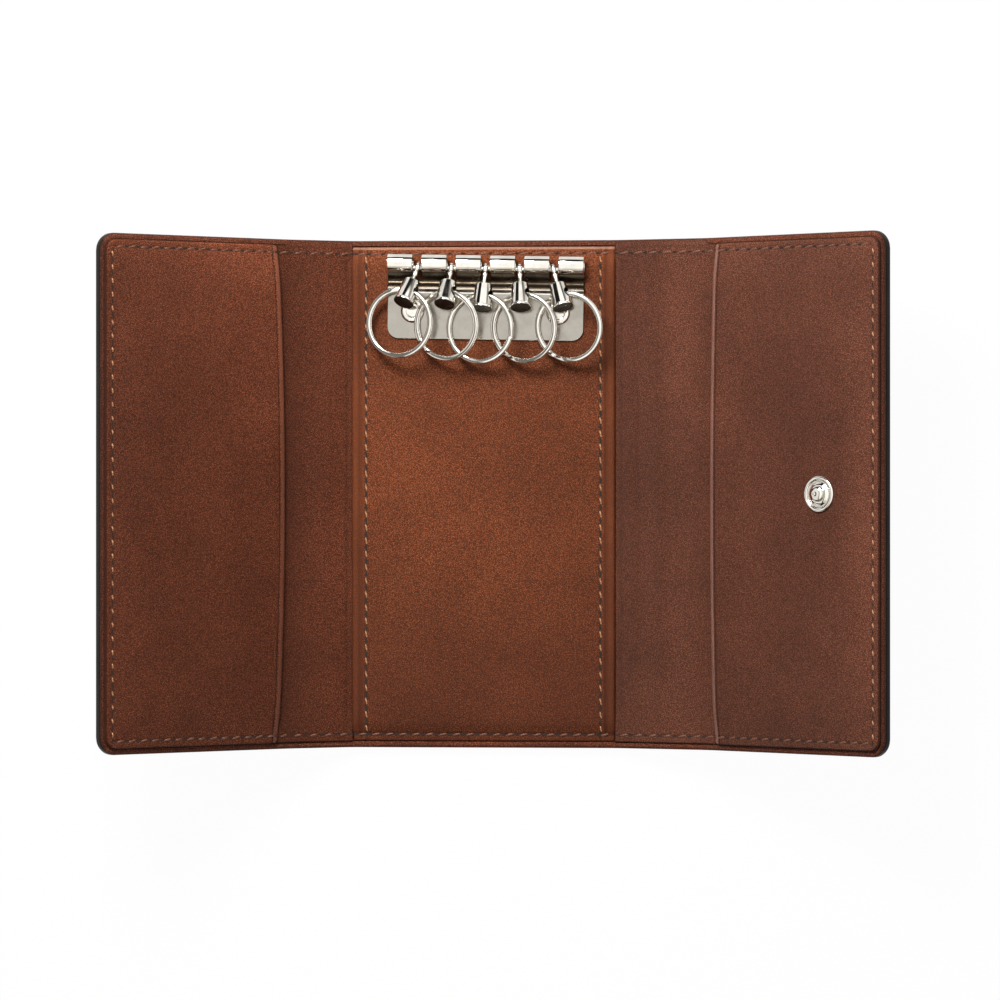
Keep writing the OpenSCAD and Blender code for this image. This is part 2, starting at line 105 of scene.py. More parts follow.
def eased(distance: Array, radius: float) -> Array:
    """How far a rounded edge drops: r - sqrt(r^2 - (r - d)^2) for d below r, else 0.

    Args:
        distance: Distance from the edge.
        radius: Radius of the rounding.

    Returns:
        The drop at each distance.
    """
    e = np.clip(radius - distance, 0.0, radius)
    return radius - np.sqrt(np.maximum(radius * radius - e * e, 0.0))


def graded(start: float, stop: float, zones: Sequence[tuple[float, float, float]],
           coarse: float, slope: float = 0.25) -> Array:
    """Grid lines whose step is small inside the zones and grows with the distance from them.

    The wanted step at x is the least of coarse and, for each zone, its step plus slope times
    the distance to it. The lines are even in the running sum of 1 / step.

    Args:
        start: First line.
        stop: Last line.
        zones: Low end, high end and step of each fine zone.
        coarse: Largest step.
        slope: Growth of the step with distance.

    Returns:
        The positions of the lines.
    """
    x = np.linspace(start, stop, 6001)
    step = np.full_like(x, coarse)
    for low, high, fine in zones:
        away = np.maximum(np.maximum(low - x, x - high), 0.0)
        step = np.minimum(step, fine + slope * away)
    run = np.concatenate([[0.0], np.cumsum(np.diff(x) * 2.0 / (step[1:] + step[:-1]))])
    count = max(int(round(run[-1])), 2) + 1
    return np.interp(np.linspace(0.0, run[-1], count), run, x)


def unit(v: Array) -> Array:
    """The vector scaled to length 1."""
    v = np.asarray(v, dtype=float)
    return v / np.linalg.norm(v, axis=-1, keepdims=True)


def softened(corners: Sequence[tuple[float, float, float]], steps: int = 3) -> Array:
    """A profile whose corners are rounded by parabolas.

    Each corner is replaced by the curve (1-t)^2 A + 2t(1-t) K + t^2 B, where K is the corner
    and A and B lie its radius away on the two sides.

    Args:
        corners: First and second coordinate and rounding radius of each corner.
        steps: Pieces of each curve.

    Returns:
        The points of the profile, one row each.
    """
    points = np.array([c[:2] for c in corners], dtype=float)
    out = [points[:1]]
    t = np.linspace(0.0, 1.0, steps + 1)[:, None]
    for k in range(1, len(points) - 1):
        before, here, after = points[k - 1], points[k], points[k + 1]
        reach = corners[k][2]
        if reach <= 0:
            out.append(here[None])
            continue
        a = here + unit(before - here) * min(reach, 0.49 * np.linalg.norm(before - here))
        b = here + unit(after - here) * min(reach, 0.49 * np.linalg.norm(after - here))
        out.append((1 - t) ** 2 * a + 2 * t * (1 - t) * here + t * t * b)
    out.append(points[-1:])
    return np.concatenate(out)


@dataclass
class Solid:
    """Points in millimetres with faces, a finish number per face and a place on the hide."""

    points: Array
    faces: list[Array]
    finish: list[Array]
    place: Array | None = None
    # Painted light and shade per point: above 0 painted shade, below 0 painted light.
    press: Array | None = None

    @staticmethod
    def joined(parts: Sequence["Solid"]) -> "Solid":
        """Several solids as one.

        Args:
            parts: The solids.

        Returns:
            One solid that holds them all.
        """
        shift = np.cumsum([0] + [len(p.points) for p in parts[:-1]])
        faces = [f + k for p, k in zip(parts, shift) for f in p.faces]
        finish = [f for p in parts for f in p.finish]
        place = [np.zeros_like(p.points) if p.place is None else p.place for p in parts]
        press = [np.zeros(len(p.points)) if p.press is None else p.press for p in parts]
        return Solid(np.concatenate([p.points for p in parts]), faces, finish,
                     np.concatenate(place), np.concatenate(press))

    def set_on(self, origin: Array, axes: Sequence[Array]) -> "Solid":
        """The solid moved from its own axes to a place on the case.

        Args:
            origin: Where its own origin goes.
            axes: The directions of its own x, y and z.

        Returns:
            The moved solid: origin + x X + y Y + z Z for each point.
        """
        turn = np.stack([np.asarray(a, dtype=float) for a in axes])
        moved = self.points @ turn + np.asarray(origin, dtype=float)
        return Solid(moved, self.faces, self.finish, self.place, self.press)

    def volume(self) -> float:
        """Signed volume, the sum over a fan of triangles of a . (b x c) / 6."""
        total = 0.0
        for group in self.faces:
            p = self.points[group]
            for k in range(1, group.shape[1] - 1):
                total += float(np.einsum("ij,ij->", p[:, 0], np.cross(p[:, k], p[:, k + 1])))
        return total / 6.0

    def to_object(self, name: str, finishes: Sequence[bpy.types.Material],
                  sharp: float = 40.0) -> bpy.types.Object:
        """The solid as a Blender object at the origin, with its faces pointing outwards.

        Args:
            name: Name of the piece.
            finishes: Materials in the order of the finish numbers.
            sharp: Angle in degrees above which an edge stays sharp.

        Returns:
            The new object, linked to the scene.
        """
        flip = self.volume() < 0
        faces = [row for g in self.faces for row in (g[:, ::-1] if flip else g).tolist()]
        mesh = bpy.data.meshes.new(name)
        mesh.from_pydata((self.points * MM).tolist(), [], faces)
        for material in finishes:
            mesh.materials.append(material)
        mesh.polygons.foreach_set("material_index", np.concatenate(self.finish).astype(np.int32))
        if self.place is not None:
            layer = mesh.attributes.new("hide_place", "FLOAT_VECTOR", "POINT")
            layer.data.foreach_set("vector", (self.place * MM).astype(np.float32).ravel())
        # The attribute of painted light and shade that the hide finishes read.
        if self.press is not None:
            layer = mesh.attributes.new("press", "FLOAT", "POINT")
            layer.data.foreach_set("value", self.press.astype(np.float32))
        mesh.shade_smooth()
        mesh.update()
        mesh.set_sharp_from_angle(angle=math.radians(sharp))
        piece = bpy.data.objects.new(name, mesh)
        bpy.context.scene.collection.objects.link(piece)
        log.info("%s: %d points, %d faces", name, len(mesh.vertices), len(mesh.polygons))
        return piece


def grid_faces(rows: int, columns: int, wrap_rows: bool = False,
               wrap_columns: bool = False) -> Array:
    """Quads of a grid of points numbered row by row.

    Args:
        rows: Number of rows.
        columns: Number of columns.
        wrap_rows: Whether the last row joins the first.
        wrap_columns: Whether the last column joins the first.

    Returns:
        Four point numbers per quad.
    """
    r = np.arange(rows if wrap_rows else rows - 1)
    c = np.arange(columns if wrap_columns else columns - 1)
    r, c = (m.ravel() for m in np.meshgrid(r, c, indexing="ij"))
    r2, c2 = (r + 1) % rows, (c + 1) % columns
    return np.stack([r * columns + c, r2 * columns + c, r2 * columns + c2, r * columns + c2], 1)


def turned(profile: Array, steps: int = 48) -> Solid:
    """A profile of radius and height turned round the z axis.

    Point k at angle a is (r cos a, r sin a, z). A profile that starts or ends on the axis is
    closed there by one point, and any other profile is closed on itself.

    Args:
        profile: Radius and height of each point.
        steps: Points round the axis.

    Returns:
        The turned solid.
    """
    angle = np.linspace(0.0, 2.0 * math.pi, steps, endpoint=False)
    on_axis = profile[0, 0] < 1e-9 and profile[-1, 0] < 1e-9
    rim = profile[1:-1] if on_axis else profile
    r, z = rim[:, :1], rim[:, 1:]
    ring = np.stack([r * np.cos(angle), r * np.sin(angle),
                     np.broadcast_to(z, (len(rim), steps))], 2)
    points = ring.reshape(-1, 3)
    faces = [grid_faces(len(rim), steps, wrap_rows=not on_axis, wrap_columns=True)]
    if on_axis:
        k = np.arange(steps)
        nxt = (k + 1) % steps
        first, last = len(points), len(points) + 1
        base = (len(rim) - 1) * steps
        poles = [[0.0, 0.0, profile[0, 1]], [0.0, 0.0, profile[-1, 1]]]
        points = np.concatenate([points, poles])
        faces.append(np.stack([k, nxt, np.full(steps, first)], 1))
        faces.append(np.stack([base + nxt, base + k, np.full(steps, last)], 1))
    return Solid(points, faces, [np.zeros(len(f), int) for f in faces])


def carried(section: Array, path: Array, across: Array, up: Array, closed: bool = False) -> Solid:
    """A closed section carried along a path.

    Point j of the section at point i of the path is path_i + a_j across_i + b_j up_i.

    Args:
        section: The closed section, or one per point of the path, as pairs (a, b).
        path: Points of the path.
        across: Direction of a at each point of the path.
        up: Direction of b at each point of the path.
        closed: Whether the path closes on itself.

    Returns:
        The carried solid, with flat ends if the path is open.
    """
    section = np.broadcast_to(section, (len(path),) + section.shape[-2:])
    points = (path[:, None] + section[..., :1] * across[:, None] + section[..., 1:] * up[:, None])
    rows, columns = points.shape[:2]
    faces = [grid_faces(rows, columns, wrap_rows=closed, wrap_columns=True)]
    if not closed:
        ends = np.arange(columns)
        faces.append(ends[None])
        faces.append((rows - 1) * columns + ends[::-1][None])
    return Solid(points.reshape(-1, 3), faces, [np.zeros(len(f), int) for f in faces])


# What the frame says


@dataclass(frozen=True)
class FrameReader:
    """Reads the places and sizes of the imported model, in millimetres."""

    joints: dict[str, dict] = field(
        default_factory=lambda: {j["name"]: j for j in frame["joints"]})

    def pivot(self, name: str) -> Array:
        """The point that a joint turns about."""
        return np.array(self.joints[name]["pos_m"], dtype=float) / MM

    def axis(self, name: str) -> Array:
        """The axis that a joint turns about."""
        return unit(np.array(self.joints[name]["axis"], dtype=float))

    def lowest(self, name: str) -> float:
        """A joint's lower limit in degrees."""
        return float(self.joints[name]["range_deg"][0])

    def size(self, node: str) -> Array:
        """Length of a node's box along x, y and z."""
        low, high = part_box(node)
        return (np.array(high) - np.array(low)) / MM

    def low(self, node: str) -> Array:
        """Lowest corner of a node's box."""
        return np.array(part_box(node)[0]) / MM

    def high(self, node: str) -> Array:
        """Highest corner of a node's box."""
        return np.array(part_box(node)[1]) / MM


class Wing(Enum):
    """Which wing a piece belongs to, with the sign of x on that wing."""

    LEFT = -1
    RIGHT = 1

    @property
    def word(self) -> str:
        """The wing's name as the bodies use it."""
        return self.name.lower()


@dataclass(frozen=True)
class WingPath:
    """The inner face of the outer hide along one wing, seen from the end of the case."""

    wing: Wing
    centre_half: float
    side_w: float
    floor_z: float
    tilt: float
    bend: float
    inner_soft: float = 1.9
    outer_soft: float = 2.4

    def follow(self, s: Array) -> tuple[Array, Array, Array]:
        """Where the path is after a length s, and how steep it is there.

        Straight runs meet at each fold in a parabola, (1-t)^2 A + 2t(1-t) K + t^2 B, with the
        fold as K and with A and B half a bend away on either side.

        Args:
            s: Length outwards from the inner fold.

        Returns:
            Distance outwards, rise and steepness in radians.
        """
        turns = np.radians([0.0, self.tilt, self.tilt + self.bend])
        folds = ((0.0, self.inner_soft), (self.side_w, self.outer_soft))
        step = np.stack([np.cos(turns), np.sin(turns)], 1)
        knots = np.array([[0.0, 0.0], self.side_w * step[1]])
        leg = (s > folds[0][0]).astype(int) + (s > folds[1][0]).astype(int)
        from_knot = np.where(leg == 2, 1, 0)
        run = s - np.where(leg == 2, self.side_w, 0.0)
        out = knots[from_knot] + run[..., None] * step[leg]
        slope = turns[leg]
        for k, (at, soft) in enumerate(folds):
            t = np.clip((s - at + soft) / (2.0 * soft), 0.0, 1.0)
            near = np.abs(s - at) < soft
            bent = knots[k] + soft * (-((1 - t) ** 2)[..., None] * step[k]
                                      + (t * t)[..., None] * step[k + 1])
            way = (1 - t)[..., None] * step[k] + t[..., None] * step[k + 1]
            out = np.where(near[..., None], bent, out)
            slope = np.where(near, np.arctan2(way[..., 1], way[..., 0]), slope)
        return out[..., 0], out[..., 1], slope

    def place(self, s: Array, y: Array, h: Array) -> Array:
        """The point of the case at s, y and h: the path plus h along its upward normal.

        Args:
            s: Length outwards from the inner fold.
            y: Position up the case.
            h: Height above the inner face of the outer hide.

        Returns:
            x, y and z in the last axis.
        """
        s, y, h = np.broadcast_arrays(*(np.asarray(part, float) for part in (s, y, h)))
        out, rise, slope = self.follow(s)
        x = self.wing.value * (self.centre_half + out - h * np.sin(slope))
        return np.stack([x, y, self.floor_z + rise + h * np.cos(slope)], -1)


@dataclass(frozen=True)
class CentrePlace:
    """Places a sheet on the flat centre section, where s is x itself."""

    floor_z: float

    def place(self, s: Array, y: Array, h: Array) -> Array:
        """The point (s, y, floor + h)."""
        s, y, h = np.broadcast_arrays(*(np.asarray(part, float) for part in (s, y, h)))
        return np.stack([s, y, self.floor_z + h], -1)


@dataclass(frozen=True)
class Outline:
    """The flat outline of a sheet, from its start near the centre to its outer end."""

    start: float
    stop: float
    half_h: float
    outer_r: float = 0.0
    inner_r: float = 0.0
    bow: float = 0.0
    seam_start: bool = False
    seam_stop: bool = False
    top_extra: float = 0.0
    extra_stop: float = 1e3

    def reach_up(self, a: Array) -> Array:
        """Extra height of the top edge, which ends smoothly at extra_stop."""
        return self.top_extra * (1.0 - smooth01(a, self.extra_stop - 1.4, self.extra_stop))

    def lay(self, a: Array, t: Array) -> tuple[Array, Array]:
        """Where the grid line crossings lie.

        y is t times the half height, less the drop r - sqrt(r^2 - e^2) of the rounded corners,
        and s is a plus the bow of the start, bow (y / half)^2, fading towards the stop.

        Args:
            a: Nominal position outwards.
            t: Position up the case from -1 to 1.

        Returns:
            s and y.
        """
        drop = np.zeros_like(a)
        if not self.seam_stop and self.outer_r > 0:
            e = np.clip(a - (self.stop - self.outer_r), 0.0, self.outer_r)
            drop = drop + self.outer_r - np.sqrt(self.outer_r ** 2 - e * e)
        if not self.seam_start and self.inner_r > 0:
            e = np.clip(self.start + self.inner_r - a, 0.0, self.inner_r)
            drop = drop + self.inner_r - np.sqrt(self.inner_r ** 2 - e * e)
        y = t * (self.half_h - drop) + self.reach_up(a) * smooth01(t, 0.9, 0.985)
        fade = (self.stop - a) / (self.stop - self.start)
        return a + self.bow * (y / self.half_h) ** 2 * fade, y

    def inset(self, a: Array, y: Array, start_too: bool = True) -> Array:
        """Distance inside the outline: the signed distance of a rectangle with round corners.

        Args:
            a: Nominal position outwards.
            y: Position up the case.
            start_too: Whether the starting edge counts.

        Returns:
            The distance, 0 on the outline.
        """
        far = 200.0
        low = self.start - (far if self.seam_start or not start_too else 0.0)
        high = self.stop + (far if self.seam_stop else 0.0)
        middle, half = (low + high) / 2.0, (high - low) / 2.0
        y = y - self.reach_up(a) * smooth01(y, 0.9 * self.half_h, 0.985 * self.half_h)
        r = np.where(a > middle, self.outer_r, self.inner_r if start_too else 0.0)
        qx, qy = np.abs(a - middle) - half + r, np.abs(y) - self.half_h + r
        outside = np.hypot(np.maximum(qx, 0.0), np.maximum(qy, 0.0))
        return np.maximum(r - outside - np.minimum(np.maximum(qx, qy), 0.0), 0.0)


@dataclass(frozen=True)
class Wall:
    """The edge of a sheet: rings between its top and its bottom, and which finish each has."""

    depth: tuple[float, ...] = (0.12, 0.3, 0.7, 0.9)
    swell: tuple[float, ...] = (0.6, 1.0, 1.0, 0.6)
    finish: tuple[int, ...] = (0, 0, 0, 0, 0)
    reach: float = 0.12


@dataclass
class Sheet:
    """A piece of leather: a closed skin between a top and a bottom height over an outline."""

    outline: Outline
    place: Placing
    top: Callable[[Array, Array, Array], Array]
    bottom: Callable[[Array, Array, Array], Array]
    lines_a: Array
    lines_t: Array
    wall: Wall = field(default_factory=Wall)
    # Painted light and shade over the sheet: above 0 painted shade, below 0 painted light.
    press: Callable[[Array, Array, Array], Array] | None = None
    bottom_finish: int = 0
    strip: Callable[[Array, Array], Array] | None = None

    def height(self, s: Array, y: Array) -> Array:
        """Top height of the sheet at s and y, taking s for the nominal position."""
        return self.top(s, y, self.outline.inset(s, y))

    def solid(self) -> Solid:
        """The closed skin.

        The top and bottom are grids over the outline. Between their rims run the wall's rings:
        each lies at a share of the depth from top to bottom and swells outwards, along the
        outline's normal, by its share of the wall's reach. Seams don't swell.

        Returns:
            The skin with its place on the hide and its painted light and shade.
        """
        a, t = np.meshgrid(self.lines_a, self.lines_t, indexing="ij")
        s, y = self.outline.lay(a, t)
        inset = self.outline.inset(a, y)
        high, low = self.top(a, y, inset), self.bottom(a, y, inset)
        rows, columns = a.shape
        number = np.arange(rows * columns).reshape(rows, columns)
        rim = np.concatenate([number[:, 0], number[-1, 1:],
                              number[-2::-1, -1], number[0, -2:0:-1]])
        on_seam = np.zeros((rows, columns), bool)
        on_seam[0] |= self.outline.seam_start
        on_seam[-1] |= self.outline.seam_stop
        rs, ry, rh, rl = (m.ravel()[rim] for m in (s, y, high, low))
        way = np.stack([np.roll(rs, -1) - np.roll(rs, 1), np.roll(ry, -1) - np.roll(ry, 1)], 1)
        normal = unit(np.stack([way[:, 1], -way[:, 0]], 1))
        normal[on_seam.ravel()[rim], 0] = 0.0
        points, places, press = [self.place(s, y, high).reshape(-1, 3)], [], []
        flat = np.stack([s, y, np.zeros_like(s)], -1).reshape(-1, 3)
        places.append(flat)
        # Painted light and shade at each point of the top.
        worn = self.press(a, y, inset) if self.press else np.zeros_like(s)
        press.append(worn.ravel())
        for depth, swell in zip(self.wall.depth, self.wall.swell):
            out = self.wall.reach * swell
            qs, qy = rs + normal[:, 0] * out, ry + normal[:, 1] * out
            qh = rh + (rl - rh) * depth
            points.append(self.place(qs, qy, qh))
            places.append(np.stack([qs, qy, qh], 1))
            press.append(worn.ravel()[rim])
        points.append(self.place(s, y, low).reshape(-1, 3))
        places.append(flat + np.array([0.0, 0.0, 7.0]))
        press.append(np.zeros(s.size))
        top = grid_faces(rows, columns)
        grade = self.strip(a, y) if self.strip else np.zeros(a.shape)
        faces, finish = [top], [np.asarray(grade, int).ravel()[top].min(1)]
        n, base = len(rim), rows * columns
        loops = [rim] + [base + k * n + np.arange(n) for k in range(len(self.wall.depth))]
        loops.append(base + len(self.wall.depth) * n + rim)
        for k, (one, two) in enumerate(zip(loops[:-1], loops[1:])):
            band = np.stack([one, two, np.roll(two, -1), np.roll(one, -1)], 1)
            faces.append(band)
            finish.append(np.full(n, self.wall.finish[k]))
        faces.append(top[:, ::-1] + base + len(self.wall.depth) * n)
        finish.append(np.full(len(top), self.bottom_finish))
        return Solid(np.concatenate(points), faces, finish, np.concatenate(places),
                     np.concatenate(press))


# Finishes

Color = tuple[float, float, float]


class Patch:
    """Adds nodes to a tree and links them, from left to right."""

    def __init__(self, tree: bpy.types.NodeTree) -> None:
        """Starts on a tree.

        Args:
            tree: The node tree to fill.
        """
        self.tree = tree

    def add(self, kind: str, inputs: dict | None = None, **settings: object) -> bpy.types.Node:
        """Adds a node.

        Args:
            kind: Blender's name of the node.
            inputs: Value, or socket to link, by input name or number.
            settings: Properties of the node.

        Returns:
            The new node.
        """
        node = self.tree.nodes.new(kind)
        for key, value in settings.items():
            setattr(node, key, value)
        self.feed(node, inputs or {})
        return node

    def feed(self, node: bpy.types.Node, inputs: dict) -> None:
        """Links or sets a node's inputs.

        Args:
            node: The node.
            inputs: Value, or socket to link, by input name or number.
        """
        for key, value in inputs.items():
            if isinstance(value, bpy.types.NodeSocket):
                self.tree.links.new(value, node.inputs[key])
            else:
                node.inputs[key].default_value = value

    def math(self, how: str, a: object, b: object) -> bpy.types.NodeSocket:
        """A Math node's result for two values or sockets."""
        return self.add("ShaderNodeMath", {0: a, 1: b}, operation=how).outputs[0]

    def mix(self, factor: object, a: object, b: object) -> bpy.types.NodeSocket:
        """A mix of two colours or sockets, by how much of b there is."""
        first, second = ((*c, 1.0) if isinstance(c, tuple) else c for c in (a, b))
        return self.add("ShaderNodeMix", {0: factor, 6: first, 7: second},
                        data_type="RGBA", clamp_factor=True).outputs[2]

    def spread(self, value: object, low: float, high: float, to_low: float = 0.0,
               to_high: float = 1.0) -> bpy.types.NodeSocket:
        """A value carried smoothly from one range to another."""
        return self.add("ShaderNodeMapRange", {0: value, 1: low, 2: high, 3: to_low, 4: to_high},
                        interpolation_type="SMOOTHSTEP").outputs[0]

    def bump(self, height: bpy.types.NodeSocket, metres: float,
             strength: float) -> bpy.types.NodeSocket:
        """The normal of a surface with a relief that is so many metres high."""
        return self.add("ShaderNodeBump", {"Height": height, "Distance": metres,
                                           "Strength": strength}).outputs[0]

    def place(self) -> bpy.types.NodeSocket:
        """Object coordinates."""
        return self.add("ShaderNodeTexCoord").outputs["Object"]


def new_group(name: str, inputs: Sequence[tuple[str, str, object]],
              outputs: Sequence[tuple[str, str]]) -> tuple[bpy.types.NodeTree, Patch,
                                                           bpy.types.Node, bpy.types.Node]:
    """Starts a shader node group.

    Args:
        name: Name of the group.
        inputs: Name, socket type and default of each input.
        outputs: Name and socket type of each output.

    Returns:
        The group, a patch on it, its input node and its output node.
    """
    tree = bpy.data.node_groups.new(name, "ShaderNodeTree")
    for label, kind, default in inputs:
        socket = tree.interface.new_socket(name=label, in_out="INPUT", socket_type=kind)
        if default is not None:
            socket.default_value = default
    for label, kind in outputs:
        tree.interface.new_socket(name=label, in_out="OUTPUT", socket_type=kind)
    patch = Patch(tree)
    return tree, patch, patch.add("NodeGroupInput"), patch.add("NodeGroupOutput")


class FinishGroups:
    """The effects that several finishes share, each built once."""

    def __init__(self) -> None:
        """Builds the groups."""
        self.hide = self.build_hide()
        self.handling = self.build_handling()

    @staticmethod
    def build_hide() -> bpy.types.NodeTree:
        """Grain, pores and clouding of a hide.

        Returns:
            A group that puts out clouding, specks and relief, each from 0 to 1.
        """
        tree, p, given, out = new_group("hide_grain", [
            ("Vector", "NodeSocketVector", None), ("Grain", "NodeSocketFloat", 2600.0),
            ("Cloud", "NodeSocketFloat", 70.0)],
            [("Clouding", "NodeSocketFloat"), ("Specks", "NodeSocketFloat"),
             ("Relief", "NodeSocketFloat")])
        where, grain, cloud = given.outputs[0], given.outputs[1], given.outputs[2]
        wide = p.add("ShaderNodeTexNoise", {"Vector": where, "Scale": cloud, "Detail": 3.0,
                                            "Roughness": 0.55, "Distortion": 0.4})
        fine = p.add("ShaderNodeTexNoise", {"Vector": where, "Scale": grain, "Detail": 1.2,
                                            "Roughness": 0.6})
        pore = p.add("ShaderNodeTexVoronoi", {"Vector": where,
                                              "Scale": p.math("MULTIPLY", grain, 1.05)})
        cell = p.math("SUBTRACT", 1.0, pore.outputs["Distance"])
        relief = p.math("ADD", p.math("MULTIPLY", fine.outputs[0], 0.6),
                        p.math("MULTIPLY", cell, 0.4))
        tree.links.new(p.spread(wide.outputs[0], 0.3, 0.7), out.inputs[0])
        tree.links.new(p.spread(relief, 0.47, 0.75), out.inputs[1])
        tree.links.new(relief, out.inputs[2])
        return tree

    @staticmethod
    def build_handling() -> bpy.types.NodeTree:
        """Fine marks of handling on metal.

        Returns:
            A group that puts out smudges and fine lines, each from 0 to 1.
        """
        tree, p, given, out = new_group("metal_handling", [
            ("Vector", "NodeSocketVector", None), ("Size", "NodeSocketFloat", 300.0)],
            [("Smudge", "NodeSocketFloat"), ("Lines", "NodeSocketFloat")])
        where, size = given.outputs[0], given.outputs[1]
        smudge = p.add("ShaderNodeTexNoise", {"Vector": where, "Scale": size, "Detail": 3.0})
        drawn = p.add("ShaderNodeMapping", {"Vector": where, "Scale": (0.06, 1.0, 1.0)})
        lines = p.add("ShaderNodeTexNoise", {"Vector": drawn.outputs[0], "Detail": 2.0,
                                             "Scale": p.math("MULTIPLY", size, 30.0)})
        tree.links.new(p.spread(smudge.outputs[0], 0.35, 0.7), out.inputs[0])
        tree.links.new(lines.outputs[0], out.inputs[1])
        return tree

    def on_hide(self, p: Patch, grain: float, cloud: float) -> bpy.types.Node:
        """The hide effect on a piece's hide_place attribute.

        Args:
            p: Patch on the material's tree.
            grain: Scale of the grain.
            cloud: Scale of the clouding.

        Returns:
            The group's node.
        """
        where = p.add("ShaderNodeAttribute", attribute_name="hide_place").outputs["Vector"]
        return p.add("ShaderNodeGroup", {"Vector": where, "Grain": grain, "Cloud": cloud},
                     node_tree=self.hide)


def blank(name: str) -> tuple[bpy.types.Material, Patch, bpy.types.Node]:
    """A material with only a Principled shader on its output.

    Args:
        name: Name of the material.

    Returns:
        The material, a patch on its tree and the shader node.
    """
    material = bpy.data.materials.new(name)
    material.use_nodes = True
    material.node_tree.nodes.clear()
    patch = Patch(material.node_tree)
    shader = patch.add("ShaderNodeBsdfPrincipled")
    patch.add("ShaderNodeOutputMaterial", {0: shader.outputs[0]})
    return material, patch, shader


@dataclass(frozen=True)
class HideFinish:
    """Oiled leather: sandy grain of pits and crowns, soft clouding, painted shade in creases.

    The per-point shading attribute paints shade, darker, where it is above 0 and paints light,
    paler, below 0.
    """

    name: str
    tone: Color
    # The colour that painted shade darkens the hide towards.
    creased: Color
    # Scales of the tone in the grain's pits and on its crowns: partly the grain's own tone, partly
    # painted shade in the pits and painted highlights on the crowns.
    pit: float = 0.31
    crown: float = 2.3
    cloud_depth: float = 0.24
    matt: float = 0.58
    gloss: float = 0.40
    grain: float = 5400.0
    cloud: float = 42.0
    relief: float = 1.0
    specular: float = 0.12

    def shade(self, by: float) -> Color:
        """The tone made lighter or darker."""
        return tuple(part * by for part in self.tone)

    def polished(self, share: float, specular: float, ending: str = "polished") -> "HideFinish":
        """The same hide made smoother and glossier, with its tone scaled by the share: above 1 a
        painted highlight, below 1 darker.
        """
        return replace(self, name=f"{self.name}_{ending}", tone=self.shade(share), matt=0.40,
                       gloss=0.30, specular=specular, pit=0.62, crown=1.5)

    def make(self, groups: FinishGroups) -> bpy.types.Material:
        """Builds the material.

        Args:
            groups: The shared effects.

        Returns:
            The material.
        """
        material, p, shader = blank(self.name)
        hide = groups.on_hide(p, self.grain, self.cloud)
        clouding, specks, relief = hide.outputs
        press = p.add("ShaderNodeAttribute", attribute_name="press").outputs["Fac"]
        low = 1.0 - self.cloud_depth
        # Grain colour: pits darker and crowns paler than the tone, partly grain and partly painted
        # shade and painted highlights.
        pits, crowns = (p.mix(clouding, self.shade(level * low), self.shade(level))
                        for level in (self.pit, self.crown))
        # Painted shade: the colour is mixed towards the painted shade tone where the shading
        # attribute is above 0, and scaled paler as painted light where it is below 0.
        dark = p.mix(press, p.mix(specks, pits, crowns), self.creased)
        pale = p.math("SUBTRACT", 1.0, p.math("MINIMUM", press, 0.0))
        color = p.add("ShaderNodeVectorMath", {0: dark, "Scale": pale}, operation="SCALE")
        p.feed(shader, {"Base Color": color.outputs[0],
                        "Roughness": p.spread(specks, 0.0, 1.0, self.matt, self.gloss),
                        "Normal": p.bump(relief, 0.00024, self.relief),
                        "Specular IOR Level": self.specular})
        return material


@dataclass(frozen=True)
class PaintFinish:
    """Glossy edge paint, a little uneven."""

    name: str
    color: Color
    # The paint's uneven, worn colour.
    worn: Color
    matt: float = 0.38
    gloss: float = 0.26
    specular: float = 0.10
    grain: float = 900.0
    cloud: float = 70.0

    def make(self, groups: FinishGroups) -> bpy.types.Material:
        """Builds the material from the shared hide effect."""
        material, p, shader = blank(self.name)
        clouding, specks, relief = groups.on_hide(p, self.grain, self.cloud).outputs
        p.feed(shader, {"Base Color": p.mix(clouding, self.color, self.worn),
                        "Roughness": p.spread(specks, 0.0, 1.0, self.matt, self.gloss),
                        "Normal": p.bump(relief, 0.0001, 0.2),
                        "Specular IOR Level": self.specular})
        return material


@dataclass(frozen=True)
class ThreadFinish:
    """Waxed thread with a twist along it."""

    name: str
    color: Color
    shade: Color

    def make(self) -> bpy.types.Material:
        """Builds the material: slanting bands of light and shade on Object coordinates."""
        material, p, shader = blank(self.name)
        twist = p.add("ShaderNodeTexWave", {"Vector": p.place(), "Scale": 900.0,
                                            "Distortion": 1.5, "Detail": 1.0},
                      bands_direction="DIAGONAL").outputs["Fac"]
        p.feed(shader, {"Base Color": p.mix(twist, self.shade, self.color),
                        "Normal": p.bump(twist, 0.00006, 0.4), "Roughness": 0.55})
        return material


@dataclass(frozen=True)
class MetalFinish:
    """Plated metal with smudges, and lines where it is brushed."""

    name: str
    color: Color
    smudged: Color
    bright: float
    dull: float
    brushed: float = 0.0

    def make(self, groups: FinishGroups) -> bpy.types.Material:
        """Builds the material from the shared handling effect."""
        material, p, shader = blank(self.name)
        smudge, lines = p.add("ShaderNodeGroup", {"Vector": p.place()},
                              node_tree=groups.handling).outputs
        p.feed(shader, {"Base Color": p.mix(smudge, self.color, self.smudged),
                        "Roughness": p.spread(smudge, 0.0, 1.0, self.bright, self.dull),
                        "Metallic": 1.0})
        if self.brushed > 0:
            p.feed(shader, {"Normal": p.bump(lines, 0.00002, self.brushed)})
        return material


@dataclass(frozen=True)
class BoardFinish:
    """Grey fibre board with flecks."""

    name: str
    color: Color
    fleck: Color

    def make(self) -> bpy.types.Material:
        """Builds the material on Object coordinates."""
        material, p, shader = blank(self.name)
        noise = p.add("ShaderNodeTexNoise", {"Vector": p.place(), "Scale": 1500.0, "Detail": 4.0})
        flecks = p.spread(noise.outputs[0], 0.4, 0.65)
        p.feed(shader, {"Base Color": p.mix(flecks, self.color, self.fleck), "Roughness": 0.85})
        return material


